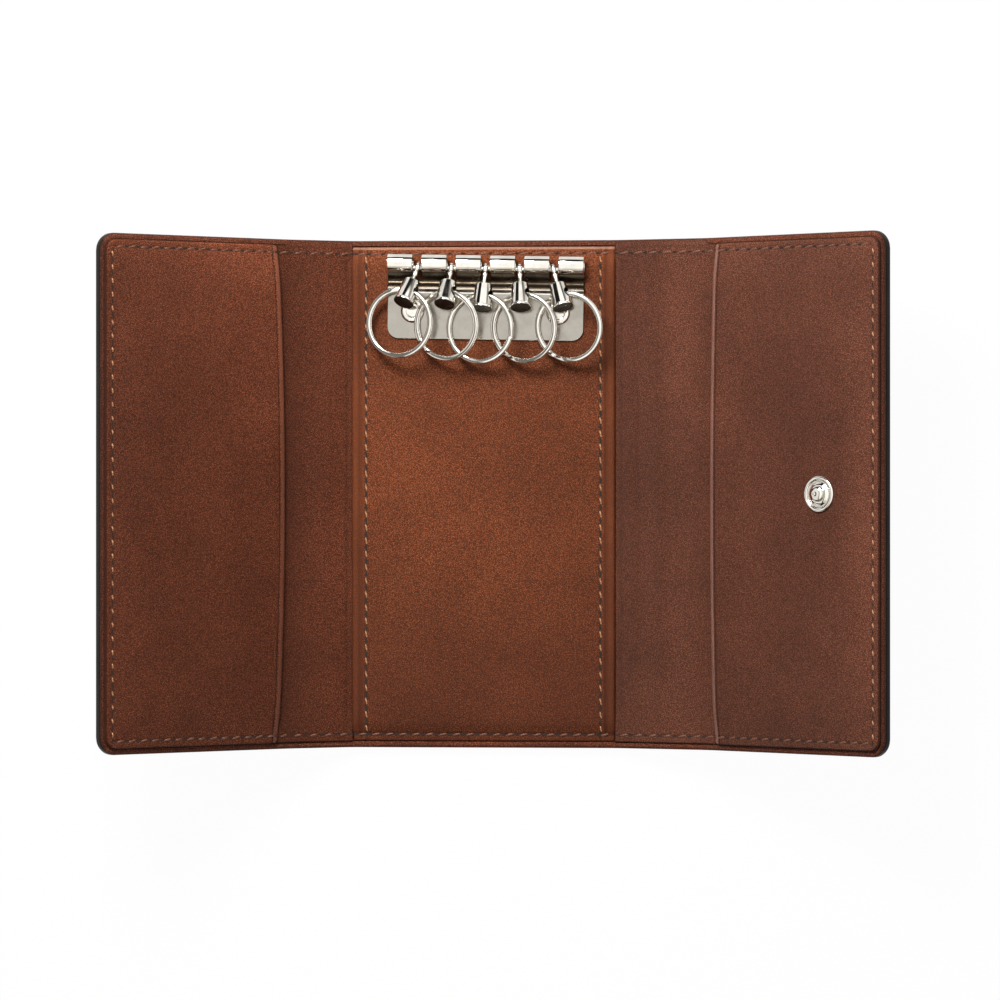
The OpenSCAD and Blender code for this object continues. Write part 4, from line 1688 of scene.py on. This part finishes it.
@dataclass
class Sewing:
    """All the stitching of the case."""

    sizes: CaseSizes
    finishes: Finishes

    def add(self, name: str, seams: Sequence[Seam], tan: bool, *nodes: str) -> bpy.types.Object:
        """Makes one piece of several seams.

        Args:
            name: Name of the piece.
            seams: The seams.
            tan: Whether the thread is the light one.
            nodes: The CAD nodes that it stands for.

        Returns:
            The piece.
        """
        solid = Solid.joined([part for seam in seams for part in (seam.threads(), seam.holes())])
        thread = self.finishes.tan if tan else self.finishes.brown
        piece = solid.to_object(name, [thread, self.finishes.hole], 60.0)
        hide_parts(*nodes)
        return piece

    def centre(self, panel: Sheet, column_inset: float, row_pitch: float) -> None:
        """Sews the hook panel: two open columns and two closer rows.

        Args:
            panel: The hook panel.
            column_inset: Distance of the columns from the long edges.
            row_pitch: Pitch of the rows.
        """
        z = self.sizes
        x, y = z.centre_half - column_inset, z.half_h - z.stitch_inset
        columns = [Seam(panel.place, panel.height, (side * x, -y), (side * x, y), z.pitch,
                        SewnStyle.OPEN_HOLES) for side in (-1, 1)]
        piece = self.add("hook_panel_columns", columns, True, "hook_panel_stitching")
        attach(piece, "centre")
        rows = [Seam(panel.place, panel.height, (-z.centre_half + 0.9, side * y),
                     (z.centre_half - 0.9, side * y), row_pitch, SewnStyle.CLOSE_SET)
                for side in (-1, 1)]
        piece = self.add("hook_panel_rows", rows, False, "hook_panel_stitching")
        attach(piece, "centre")

    def wing(self, wing: Wing, path: WingPath, linings: dict[str, Sheet], pocket: Sheet,
             mouth: float) -> None:
        """Sews one wing: its side, and three sides of its pocket.

        Args:
            wing: Which wing.
            path: Its path.
            linings: Its lining sheets.
            pocket: Its pocket panel.
            mouth: Where the pocket's stitches start.
        """
        z, word, side_w = self.sizes, wing.word, self.sizes.side_w[wing]
        y = z.half_h - z.stitch_inset
        style = SewnStyle.CLOSE_SET
        for name, first, last, bodies, span in (
                ("inner", 0.5, side_w / 2, ("centre", f"{word}_side"), SIDE_BEND),
                ("outer", side_w / 2, mouth, (f"{word}_side", f"{word}_flap"),
                 z.flap_bend(wing))):
            seams = [Seam(path.place, linings[name].height, (first, side * y), (last, side * y),
                          z.pitch, style) for side in (-1, 1)]
            piece = self.add(f"{word}_side_thread_{name}", seams, False, f"{word}_side_stitching")
            blend_over(piece, path, *bodies, *span)
        edge = side_w + z.flap_w - z.column_inset
        rows = [Seam(path.place, pocket.height, (mouth + 0.4, side * y), (edge - 0.5, side * y),
                     z.pitch, style) for side in (-1, 1)]
        piece = self.add(f"{word}_flap_thread_rows", rows, False, f"{word}_flap_stitching")
        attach(piece, f"{word}_flap")
        column = [Seam(path.place, pocket.height, (edge, -y), (edge, y), z.pitch,
                       SewnStyle.DOTTED)]
        piece = self.add(f"{word}_flap_thread_column", column, True, f"{word}_flap_stitching")
        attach(piece, f"{word}_flap")


# The metal


@dataclass
class HookRail:
    """The stamped rail with its rolled knuckles, hinge bar and rivets."""

    finishes: Finishes
    reader: FrameReader
    knuckles: int = 6
    gap: float = 1.95
    knuckle_d: float = 4.0
    sheet_t: float = 0.5
    bar_r: float = 0.5
    reach: float = 16.25
    step: float = 5.6
    rise: float = 0.8
    slot: float = 3.2
    corner_r: float = 2.5
    rivet_out: float = 15.8
    rivet_down: float = 10.25
    seam_angle: float = 31.0
    slit: float = 12.0
    channel: float = 0.72
    channel_from: float = 2.25
    tuck: float = 0.25

    def __post_init__(self) -> None:
        """Reads the rail's own axes: the bar's axis is x, and the panel's face is z = 0."""
        bar = self.reader.joints["hook_3_swing"]
        self.x = unit(np.array(bar["axis"]))
        self.z = np.array([0.0, 0.0, 1.0])
        self.y = np.cross(self.z, self.x)
        low, high = self.reader.low("hinge_bar"), self.reader.high("hinge_bar")
        middle = (low + high) / 2
        panel_z = float(self.reader.low("hook_rail")[2])
        self.width = float(np.linalg.norm((high - low)[:2])) - 0.02
        sag = self.knuckle_d / 2 - self.sheet_t - self.bar_r - 0.05
        self.origin = np.array([middle[0], middle[1], panel_z]) + self.y * sag
        self.axes = (self.x, self.y, self.z)

    @property
    def knuckle_w(self) -> float:
        """Width of one knuckle."""
        return (self.width - (self.knuckles - 1) * self.gap) / self.knuckles

    def underside(self, down: Array) -> Array:
        """Height of the sheet's underside at a distance down from the bar.

        It rises from the plate by a smooth step to the shelf, and between the ridge and the
        knuckles it dips by the channel's depth times the square of a sine.

        Args:
            down: Distance from the bar.

        Returns:
            The height above the leather.
        """
        step = self.rise * (1.0 - smooth01(down, self.step - 0.2, self.step + 0.5))
        t = np.clip((down - self.channel_from) / (self.step - 0.25 - self.channel_from), 0.0, 1.0)
        return step - self.channel * np.sin(math.pi * t) ** 2

    def plate(self) -> Solid:
        """The flat plate, its step and its shelf, as one stamped sheet.

        The height of the sheet rises by a smooth step, 3t^2 - 2t^3, over 0.7 mm, and its
        upper edge is rounded over 0.14 mm.

        Returns:
            The sheet in the rail's own axes.
        """
        half_w = self.width / 2
        outline = Outline(0.0, self.reach - self.slot, half_w, self.corner_r)

        def place(a: Array, t: Array, h: Array) -> Array:
            """Turns the sheet so that its length runs down the case from the slots."""
            return np.stack(np.broadcast_arrays(t, -self.slot - a, h), -1)

        def base(a: Array) -> Array:
            """Height of the sheet's underside at a distance a from the slots."""
            return self.underside(self.slot + a)

        lines_a = graded(0.0, self.reach - self.slot, [
            (0.0, self.step - self.slot + 0.7, 0.08),
            (self.reach - self.slot - 0.2, self.reach - self.slot, 0.05)], 1.2)
        lines_t = graded(-half_w, half_w, [(-half_w, -half_w + 0.2, 0.06),
                                           (half_w - 0.2, half_w, 0.06)], 1.6) / half_w
        sheet = Sheet(outline, place,
                      lambda a, y, inset: base(a) + self.sheet_t - eased(inset, 0.14),
                      lambda a, y, inset: base(a) + 0.006,
                      lines_a, lines_t, SHEER_WALL)
        solid = sheet.solid()
        y = solid.points[:, 1]
        # Faces near the knuckles take the dark nickel, painted shade in the channel under them.
        satin, recess = y < -self.step - 0.7, y > -self.step + 0.25
        solid.finish = [np.where(satin[f].all(1), 1, np.where(recess[f].all(1), 2, 0))
                        for f in solid.faces]
        return solid

    def fingers(self) -> Solid:
        """The six rolled knuckles with the tongues that join them to the shelf.

        Each knuckle is a rolled tube: its section is an arc of the outer radius and one of the
        inner, open by a slit behind the top, carried along the bar. The section shrinks by a
        rounded chamfer at both ends. A tongue is a sheet from the shelf whose top curves up
        to the tube.

        Returns:
            The knuckles in the rail's own axes.
        """
        outer, inner = self.knuckle_d / 2, self.knuckle_d / 2 - self.sheet_t
        slit = math.radians(self.slit)
        start = math.radians(90.0 - self.seam_angle)
        angle = np.linspace(start + slit / 2, start + 2 * math.pi - slit / 2, 56)
        out = np.stack([np.cos(angle), np.sin(angle)], 1)
        lead, ease = np.array([0.0, 0.04, 0.1, 0.2]), np.array([0.16, 0.07, 0.02, 0.0])
        along = np.concatenate([lead, self.knuckle_w - lead[::-1]])
        rings = np.stack([np.concatenate([out * (outer - e), out[::-1] * (inner + e * 0.4)])
                          for e in (*ease, *ease[::-1])])
        n, stops = len(angle), len(along)
        k = np.arange(n - 1)
        strip = np.stack([k, k + 1, 2 * n - 2 - k, 2 * n - 1 - k], 1)
        root = self.slot + self.tuck
        length = root - outer * 0.8
        parts = []
        for number in range(self.knuckles):
            x0 = -self.width / 2 + number * (self.knuckle_w + self.gap)
            path = np.stack([x0 + along, np.zeros(stops), np.full(stops, outer)], 1)
            tube = carried(rings, path, np.tile([0.0, 1.0, 0.0], (stops, 1)),
                           np.tile([0.0, 0.0, 1.0], (stops, 1)))
            tube.faces = [tube.faces[0], strip, strip[:, ::-1] + (stops - 1) * 2 * n]
            tube.finish = [np.zeros(len(f), int) for f in tube.faces]
            parts.append(tube)
            tongue = Sheet(
                Outline(0.0, length, self.knuckle_w / 2 - 0.02),
                lambda a, t, h, c=x0 + self.knuckle_w / 2: np.stack(
                    np.broadcast_arrays(c + t, -self.slot - self.tuck + a, h), -1),
                lambda a, y, inset: self.underside(root - a) + self.sheet_t
                + 0.22 * (a / length) ** 4 - eased(self.knuckle_w / 2 - np.abs(y), 0.12),
                lambda a, y, inset: self.underside(root - a) + 0.01,
                np.linspace(0.0, length, 16),
                graded(-1.0, 1.0, [(-1.0, -0.93, 0.03), (0.93, 1.0, 0.03)], 0.4),
                SHEER_WALL)
            sheet = tongue.solid()
            # The tongues take the dark nickel, painted shade under the knuckles.
            sheet.finish = [np.full(len(f), 2) for f in sheet.faces]
            parts.append(sheet)
        return Solid.joined(parts)

    def build(self) -> None:
        """Makes the rail, the bar and the rivets."""
        solid = Solid.joined([self.plate(), self.fingers()]).set_on(self.origin, self.axes)
        piece = Solid(solid.points, solid.faces, solid.finish).to_object("hook_rail_stamping", [
            self.finishes.nickel, self.finishes.satin, self.finishes.recess], 35.0)
        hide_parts("hook_rail")
        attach(piece, "centre")
        self.build_bar()
        self.build_rivets()

    def build_bar(self) -> None:
        """Makes the hinge bar, a turned pin with eased ends."""
        half = self.width / 2
        r = self.bar_r
        profile = softened([(0, -half, 0), (r, -half, 0.12), (r, half, 0.12), (0, half, 0)])
        centre = (self.reader.low("hinge_bar") + self.reader.high("hinge_bar")) / 2
        piece = turned(profile, 24).set_on(centre, [self.y, self.z, self.x]).to_object(
            "hinge_pin", [self.finishes.steel])
        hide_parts("hinge_bar")
        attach(piece, "centre")

    def build_rivets(self) -> None:
        """Makes both tubular rivets: a bevelled head with a shallow dish, and a shank."""
        foot = float(self.reader.low("rail_rivets")[2]) - self.origin[2]
        top = float(self.reader.high("rail_rivets")[2]) - self.origin[2]
        profile = softened([
            (0, foot, 0), (1.8, foot, 0.05), (1.8, foot + 0.2, 0.05), (1.3, foot + 0.2, 0),
            (1.3, self.sheet_t, 0), (2.5, self.sheet_t, 0.04), (2.6, self.sheet_t + 0.14, 0.08),
            (2.12, top, 0.16), (1.5, top - 0.02, 0.12), (1.28, top - 0.14, 0.12),
            (0, top - 0.13, 0)], 3)
        rivets = [turned(profile, 56).set_on(
            np.array([side * self.rivet_out, -self.rivet_down, 0.0]), np.eye(3))
            for side in (-1, 1)]
        piece = Solid.joined(rivets).set_on(self.origin, self.axes).to_object(
            "rail_rivet_heads", [self.finishes.nickel], 50.0)
        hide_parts("rail_rivets")
        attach(piece, "centre")


# Where each ring's wire ends, in degrees round the ring from its barrel
RING_CUTS = (15.0, 126.0, 265.0, 145.0, 144.0)


@dataclass
class HookSet:
    """One hook with its swivel barrel and split ring, read from its three joints."""

    number: int
    finishes: Finishes
    reader: FrameReader
    cut_end: float
    eyelet_r: float = 0.92
    eyelet_w: float = 1.0
    wire_r: float = 0.33
    stem_r: float = 0.47
    head_r: float = 1.05
    barrel_l: float = 5.5
    bore_drop: float = 2.5
    bore_r: float = 1.2
    ring_r: float = 7.65
    ring_w: float = 1.0
    ring_t: float = 1.2
    coil_t: float = 0.58
    coil_corner: float = 0.25
    coil_steps: int = 220

    def __post_init__(self) -> None:
        """Reads the axes: the barrel hangs along `down`, the eyelet's axis is `side`."""
        k, read = self.number, self.reader
        self.eye = read.pivot(f"hook_{k}_swing")
        self.top = read.pivot(f"barrel_{k}_swivel")
        self.down = read.axis(f"barrel_{k}_swivel")
        self.side = unit(np.cross(-self.down, [0.0, 0.0, 1.0]))
        self.front = np.cross(self.side, -self.down)
        self.ring_at = read.pivot(f"key_ring_{k}_spin")
        self.ring_axis = read.axis(f"key_ring_{k}_spin")

    def build_hook(self) -> None:
        """Makes the wire eyelet, its collar, the stem and the head inside the barrel.

        The eyelet is a ring of round wire, and the stem is a turned profile that swells into
        a collar under the eyelet.
        """
        steps = 40
        around = np.linspace(0, 2 * math.pi, steps, endpoint=False)
        out = np.stack([np.zeros(steps), np.cos(around), np.sin(around)], 1)
        wire = np.linspace(0, 2 * math.pi, 16, endpoint=False)
        section = np.stack([np.cos(wire) * self.wire_r, np.sin(wire) * self.eyelet_w / 2], 1)
        eyelet = carried(section, out * self.eyelet_r, out,
                         np.tile([1.0, 0.0, 0.0], (steps, 1)), True)
        drop = float(np.linalg.norm(self.top - self.eye))
        stem = turned(softened([
            (0, 0.76, 0), (0.46, 0.8, 0.1), (0.64, 1.2, 0.18), (0.62, 1.66, 0.16),
            (self.stem_r, 2.1, 0.15), (self.stem_r, drop + 0.62, 0.02),
            (self.head_r, drop + 0.62, 0.05), (self.head_r, drop + 1.0, 0.05),
            (0, drop + 1.0, 0)], 3), 28)
        stem = stem.set_on(np.zeros(3), [[1.0, 0, 0], [0, 0, 1.0], [0, -1.0, 0]])
        both = Solid.joined([eyelet, stem])
        piece = both.set_on(self.eye, [self.side, -self.down, self.front]).to_object(
            f"hook_{self.number}_wire", [self.finishes.nickel], 50.0)
        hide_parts(f"hook_{self.number}")
        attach(piece, f"hook_{self.number}")

    def build_barrel(self) -> None:
        """Makes the flared barrel, hollow round the hook's head, with its cross bore."""
        long = self.barrel_l
        profile = softened([
            (0, 1.14, 0), (1.17, 1.14, 0), (1.17, 0.5, 0), (0.62, 0.5, 0), (0.62, 0.0, 0.08),
            (1.88, 0.0, 0.13), (2.14, long - 0.62, 0.05), (2.25, long - 0.5, 0.06),
            (2.25, long, 0.16), (1.95, long - 0.02, 0.05), (1.9, long - 0.08, 0.04),
            (0, long - 0.08, 0)], 3)
        axes = [self.side, np.cross(self.down, self.side), self.down]
        shape = turned(profile, 56)
        # The barrel's foot takes the dark nickel, painted shade and a painted reflection of the
        # leather.
        foot = shape.points[:, 2] > long - 0.1
        shape.finish = [foot[f].all(1).astype(int) for f in shape.faces]
        piece = shape.set_on(self.top, axes).to_object(
            f"barrel_{self.number}_turned", [self.finishes.nickel, self.finishes.recess], 35.0)
        bore = unit(np.cross(self.ring_axis, self.down))
        half = 4
        tool = turned(softened([(0, -half, 0), (self.bore_r, -half, 0), (self.bore_r, half, 0),
                                (0, half, 0)]), 40)
        other = np.cross(self.down, bore)
        tool = tool.set_on(self.top + self.down * self.bore_drop,
                           [other, np.cross(bore, other), bore])
        cut(piece, tool.to_object("bore_tool", [self.finishes.nickel]))
        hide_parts(f"barrel_{self.number}")
        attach(piece, f"barrel_{self.number}")

    def build_ring(self) -> None:
        """Makes the split ring: one flattened wire wound round twice.

        At turn u from 0 to 2 the wire lies at the angle cut_end + 360 u degrees. Its height is
        minus half a pitch over the first turn and plus half a pitch over the second, with a
        smooth ramp between them that takes 0.09 of a turn. Its section is a rounded
        rectangle, and it tapers a little at both cut ends.
        """
        u = np.linspace(0.02, 1.98, self.coil_steps)
        angle = np.radians(self.cut_end) + 2 * math.pi * u
        half_pitch = (self.ring_t - self.coil_t) / 2
        height = half_pitch * (2.0 * smooth01(u, 0.955, 1.045) - 1.0)
        to_bore = self.top + self.down * self.bore_drop - self.ring_at
        ahead = unit(to_bore - self.ring_axis * float(to_bore @ self.ring_axis))
        left = np.cross(self.ring_axis, ahead)
        out = np.cos(angle)[:, None] * ahead + np.sin(angle)[:, None] * left
        middle = self.ring_r - self.ring_w / 2
        path = self.ring_at + out * middle + height[:, None] * self.ring_axis
        corner = np.linspace(0, math.pi / 2, 4)
        r = self.coil_corner
        quarter = np.stack([np.cos(corner), np.sin(corner)], 1) * r
        half = np.array([self.ring_w / 2 - r, self.coil_t / 2 - r])
        section = np.concatenate([
            quarter + half, (quarter * [-1, 1] + half * [-1, 1])[::-1],
            quarter * [-1, -1] - half, (quarter * [1, -1] + half * [1, -1])[::-1]])
        end = np.minimum(u - u[0], u[-1] - u)
        taper = 1.0 - 0.25 * (1.0 - smooth01(end, 0.0, 0.012))
        sections = section[None] * taper[:, None, None]
        ring = carried(sections, path, out, np.tile(self.ring_axis, (self.coil_steps, 1)))
        piece = ring.to_object(f"key_ring_{self.number}_wound", [self.finishes.nickel], 50.0)
        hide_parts(f"key_ring_{self.number}")
        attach(piece, f"ring_{self.number}")

    def build(self) -> None:
        """Makes the hook, its barrel and its ring."""
        self.build_hook()
        self.build_barrel()
        self.build_ring()


@dataclass
class Snap:
    """The snap: a stud on the right pocket, and a socket on the left flap's outer face."""

    finishes: Finishes
    reader: FrameReader
    around: int = 72

    def build_stud(self) -> None:
        """Makes the stud: a rolled rim, a dished web and a rounded knob on a neck."""
        place = disc_place(self.reader, "snap_stud", Wing.RIGHT, True)
        profile = softened([
            (0, -0.05, 0), (3.72, -0.05, 0.06), (3.88, 0.14, 0.14), (3.76, 0.46, 0.16),
            (3.46, 0.60, 0.2), (3.08, 0.52, 0.16), (2.82, 0.22, 0.12), (2.6, 0.24, 0.1),
            (2.2, 0.62, 0.25), (1.75, 0.74, 0.2), (1.42, 0.66, 0.12), (1.36, 0.86, 0.1),
            (1.72, 1.04, 0.14), (1.70, 1.32, 0.16), (1.35, 1.58, 0.24), (0.6, 1.69, 0.2),
            (0.3, 1.6, 0.12), (0, 1.58, 0)], 4)
        piece = turned(profile, self.around).set_on(*place).to_object(
            "snap_stud_turned", [self.finishes.nickel], 60.0)
        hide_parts("snap_stud")
        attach(piece, "right_flap")

    def build_socket(self) -> None:
        """Makes the socket: a domed ring with a barrel through the hide, open in the middle."""
        place = disc_place(self.reader, "snap_socket", Wing.LEFT, False)
        profile = softened([
            (2.1, 1.3, 0), (2.1, -0.95, 0.12), (2.35, -1.1, 0.12), (3.3, -1.02, 0.25),
            (4.2, -0.55, 0.3), (4.5, -0.12, 0.12), (4.45, 0.0, 0.05), (2.6, 0.02, 0),
            (2.6, 1.3, 0)], 4)
        piece = turned(profile, self.around).set_on(*place).to_object(
            "snap_socket_turned", [self.finishes.nickel], 60.0)
        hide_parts("snap_socket")
        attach(piece, "left_flap")


# The studio


# Each wall of the room: degrees from and to beyond the case and aside, colour and level
ROOM_WALLS = (
    (-180.0, 180.0, 66.0, 130.0, (1.0, 0.95, 0.88), 0.26),
    (-62.0, -42.0, -36.0, 66.0, (1.0, 0.92, 0.80), 0.62),
    (-42.0, 48.0, -52.0, -36.0, (1.0, 0.95, 0.86), 0.16),
    (-64.0, 50.0, -92.0, -52.0, (1.0, 0.98, 0.95), 0.80),
    (84.0, 180.0, -180.0, 180.0, (1.0, 0.98, 0.95), 0.80),
    (-42.0, 71.0, -36.0, 66.0, (1.0, 0.99, 0.97), 1.0),
)
ROOM_DARK = (0.010, 0.009, 0.008)


@dataclass(frozen=True)
class Studio:
    """Floor, lamps, world and camera of the picture."""

    camera_at: tuple[float, float, float] = (0.0788, -0.00128, 1.0267)
    camera_turn: float = 4.2
    lens: float = 170.6
    ambient: float = 0.25
    key_at: tuple[float, float, float] = (-0.10, 0.28, 0.37)
    key_level: float = 1.04
    key_size: float = 0.17
    fill_at: tuple[float, float, float] = (0.45, 0.15, 0.6)
    fill_level: float = 0.04
    fill_size: float = 0.6
    floor_glow: float = 0.97
    mirrored: float = 1.35

    def build(self) -> None:
        """Sets up the whole studio."""
        self.build_floor()
        self.build_world()
        self.build_lamps()
        self.build_camera()
        bpy.context.scene.view_settings.view_transform = "Standard"

    def build_floor(self) -> None:
        """Makes the white floor, which keeps the soft shadow of the case."""
        mesh = bpy.data.meshes.new("studio_floor")
        wide, low = 3.0, -0.0002
        mesh.from_pydata([(-wide, -wide, low), (wide, -wide, low), (wide, wide, low),
                          (-wide, wide, low)], [], [(0, 1, 2, 3)])
        floor = bpy.data.objects.new("studio_floor", mesh)
        bpy.context.scene.collection.objects.link(floor)
        material, p, shader = blank("studio_floor_white")
        p.feed(shader, {"Base Color": (0.9, 0.9, 0.9, 1.0), "Roughness": 0.9,
                        "Specular IOR Level": 0.0})
        glow = p.add("ShaderNodeEmission", {"Color": (1.0, 1.0, 1.0, 1.0), "Strength": 1.0})
        rays = p.add("ShaderNodeLightPath")
        seen = p.math("MAXIMUM", rays.outputs["Is Camera Ray"], rays.outputs["Is Glossy Ray"])
        share = p.math("MULTIPLY", seen, self.floor_glow)
        mixed = p.add("ShaderNodeMixShader", {0: share, 1: shader.outputs[0], 2: glow.outputs[0]})
        end = next(n for n in p.tree.nodes if n.type == "OUTPUT_MATERIAL")
        p.tree.links.new(mixed.outputs[0], end.inputs[0])
        mesh.materials.append(material)

    def build_world(self) -> None:
        """Lights the room evenly, and shows metal a soft box overhead in a darker room.

        A reflection sees white within the box's sides, a dark gap round it, and beyond the gap
        white paper on the far side and on the left, beige in front and grey on the right.
        """
        world = bpy.data.worlds.new("studio_room")
        bpy.context.scene.world = world
        world.use_nodes = True
        tree = world.node_tree
        tree.nodes.clear()
        p = Patch(tree)
        where = p.add("ShaderNodeTexCoord")
        part = p.add("ShaderNodeSeparateXYZ", {0: where.outputs["Generated"]})
        x, y, z = part.outputs[0], part.outputs[1], part.outputs[2]
        far = p.math("ARCTAN2", y, z)
        aside = p.math("ARCTAN2", x, z)
        room = ROOM_DARK
        for far_from, far_to, aside_from, aside_to, color, level in ROOM_WALLS:
            seen = p.math("MULTIPLY", self.within(p, far, far_from, far_to),
                          self.within(p, aside, aside_from, aside_to))
            room = p.mix(seen, room, tuple(part * level for part in color))
        rays = p.add("ShaderNodeLightPath")
        even = p.add("ShaderNodeBackground", {0: (1.0, 1.0, 1.0, 1.0), 1: self.ambient})
        shown = p.add("ShaderNodeBackground", {0: room, 1: self.mirrored})
        white = p.add("ShaderNodeBackground", {0: (1.0, 1.0, 1.0, 1.0), 1: 1.0})
        lit = p.add("ShaderNodeMixShader", {0: rays.outputs["Is Glossy Ray"],
                                            1: even.outputs[0], 2: shown.outputs[0]})
        whole = p.add("ShaderNodeMixShader", {0: rays.outputs["Is Camera Ray"],
                                              1: lit.outputs[0], 2: white.outputs[0]})
        end = p.add("ShaderNodeOutputWorld")
        tree.links.new(whole.outputs[0], end.inputs[0])

    @staticmethod
    def within(p: Patch, angle: bpy.types.NodeSocket, low: float, high: float,
               ) -> bpy.types.NodeSocket:
        """1 where an angle lies between two values in degrees, with a soft rim of 3 degrees."""
        soft = math.radians(1.5)
        up = p.spread(angle, math.radians(low) - soft, math.radians(low) + soft)
        down = p.spread(angle, math.radians(high) - soft, math.radians(high) + soft, 1.0, 0.0)
        return p.math("MULTIPLY", up, down)

    def build_lamps(self) -> None:
        """Hangs the soft key lamp beyond the top of the case and a weak one on the right.

        A lamp's power is its level times pi squared times the squared distance over the
        cosine at the table, so that a level of 1 shows a colour as it is written.
        """
        for name, at, size, level in (
                ("key_lamp", self.key_at, self.key_size, self.key_level),
                ("fill_lamp", self.fill_at, self.fill_size, self.fill_level)):
            aim = -np.array(at)
            away = float(np.linalg.norm(aim))
            lamp = bpy.data.lights.new(name, "AREA")
            lamp.shape, lamp.size = "SQUARE", size
            lamp.energy = level * math.pi ** 2 * away ** 2 / (at[2] / away)
            holder = bpy.data.objects.new(name, lamp)
            bpy.context.scene.collection.objects.link(holder)
            holder.location = at
            flat = math.hypot(aim[0], aim[1])
            holder.rotation_euler = (math.atan2(flat, -aim[2]), 0.0,
                                     math.atan2(aim[1], aim[0]) - math.pi / 2)

    def build_camera(self) -> None:
        """Puts the camera where the photograph was taken from."""
        data = bpy.data.cameras.new("photo_camera")
        data.lens, data.sensor_width = self.lens, 36.0
        data.clip_start, data.clip_end = 0.05, 20.0
        camera = bpy.data.objects.new("photo_camera", data)
        bpy.context.scene.collection.objects.link(camera)
        camera.location = self.camera_at
        camera.rotation_euler = (0.0, math.radians(self.camera_turn), 0.0)
        bpy.context.scene.camera = camera


def dress_hidden(finishes: Finishes) -> None:
    """Gives the hidden CAD nodes their finishes.

    Args:
        finishes: The finishes of the case.
    """
    for node, material in (("stiffener_board", finishes.board), ("snap_cap", finishes.nickel),
                           ("snap_post", finishes.nickel), ("rivet_washers", finishes.steel)):
        mesh = frame["nodes"][node].data
        mesh.materials.clear()
        mesh.materials.append(material)
        log.info("%s keeps its CAD shape", node)


def main() -> None:
    """Builds the case from its leather to its rings, then the studio."""
    logging.basicConfig(level=logging.INFO, format="%(name)s %(message)s")
    reader = FrameReader()
    finishes = Finishes()
    sizes = CaseSizes.read(reader)
    log.info("case %.1f high, flap %.2f wide, margin %.2f",
             sizes.case_h, sizes.flap_w, sizes.margin)
    panel = HookPanel(sizes, finishes, reader)
    panel_sheet = panel.build()
    sewing = Sewing(sizes, finishes)
    sewing.centre(panel_sheet, panel.column_inset, panel.row_pitch)
    hide, linings = OuterHide(sizes, finishes, reader), Linings(sizes, finishes)
    pockets = PocketPanel(sizes, finishes)
    for wing in Wing:
        path = sizes.path(wing, reader)
        hide.build(wing, path)
        sheets = linings.build(wing, path)
        pocket = pockets.build(wing, path)
        mouth = sizes.side_w[wing] + MOUTH[wing] + MOUTH_BOW[wing]
        sewing.wing(wing, path, sheets, pocket, mouth)
    HookRail(finishes, reader).build()
    for number, cut_end in enumerate(RING_CUTS, 1):
        HookSet(number, finishes, reader, cut_end).build()
    snap = Snap(finishes, reader)
    snap.build_stud()
    snap.build_socket()
    dress_hidden(finishes)
    Studio().build()


if __name__ == "__main__":
    main()
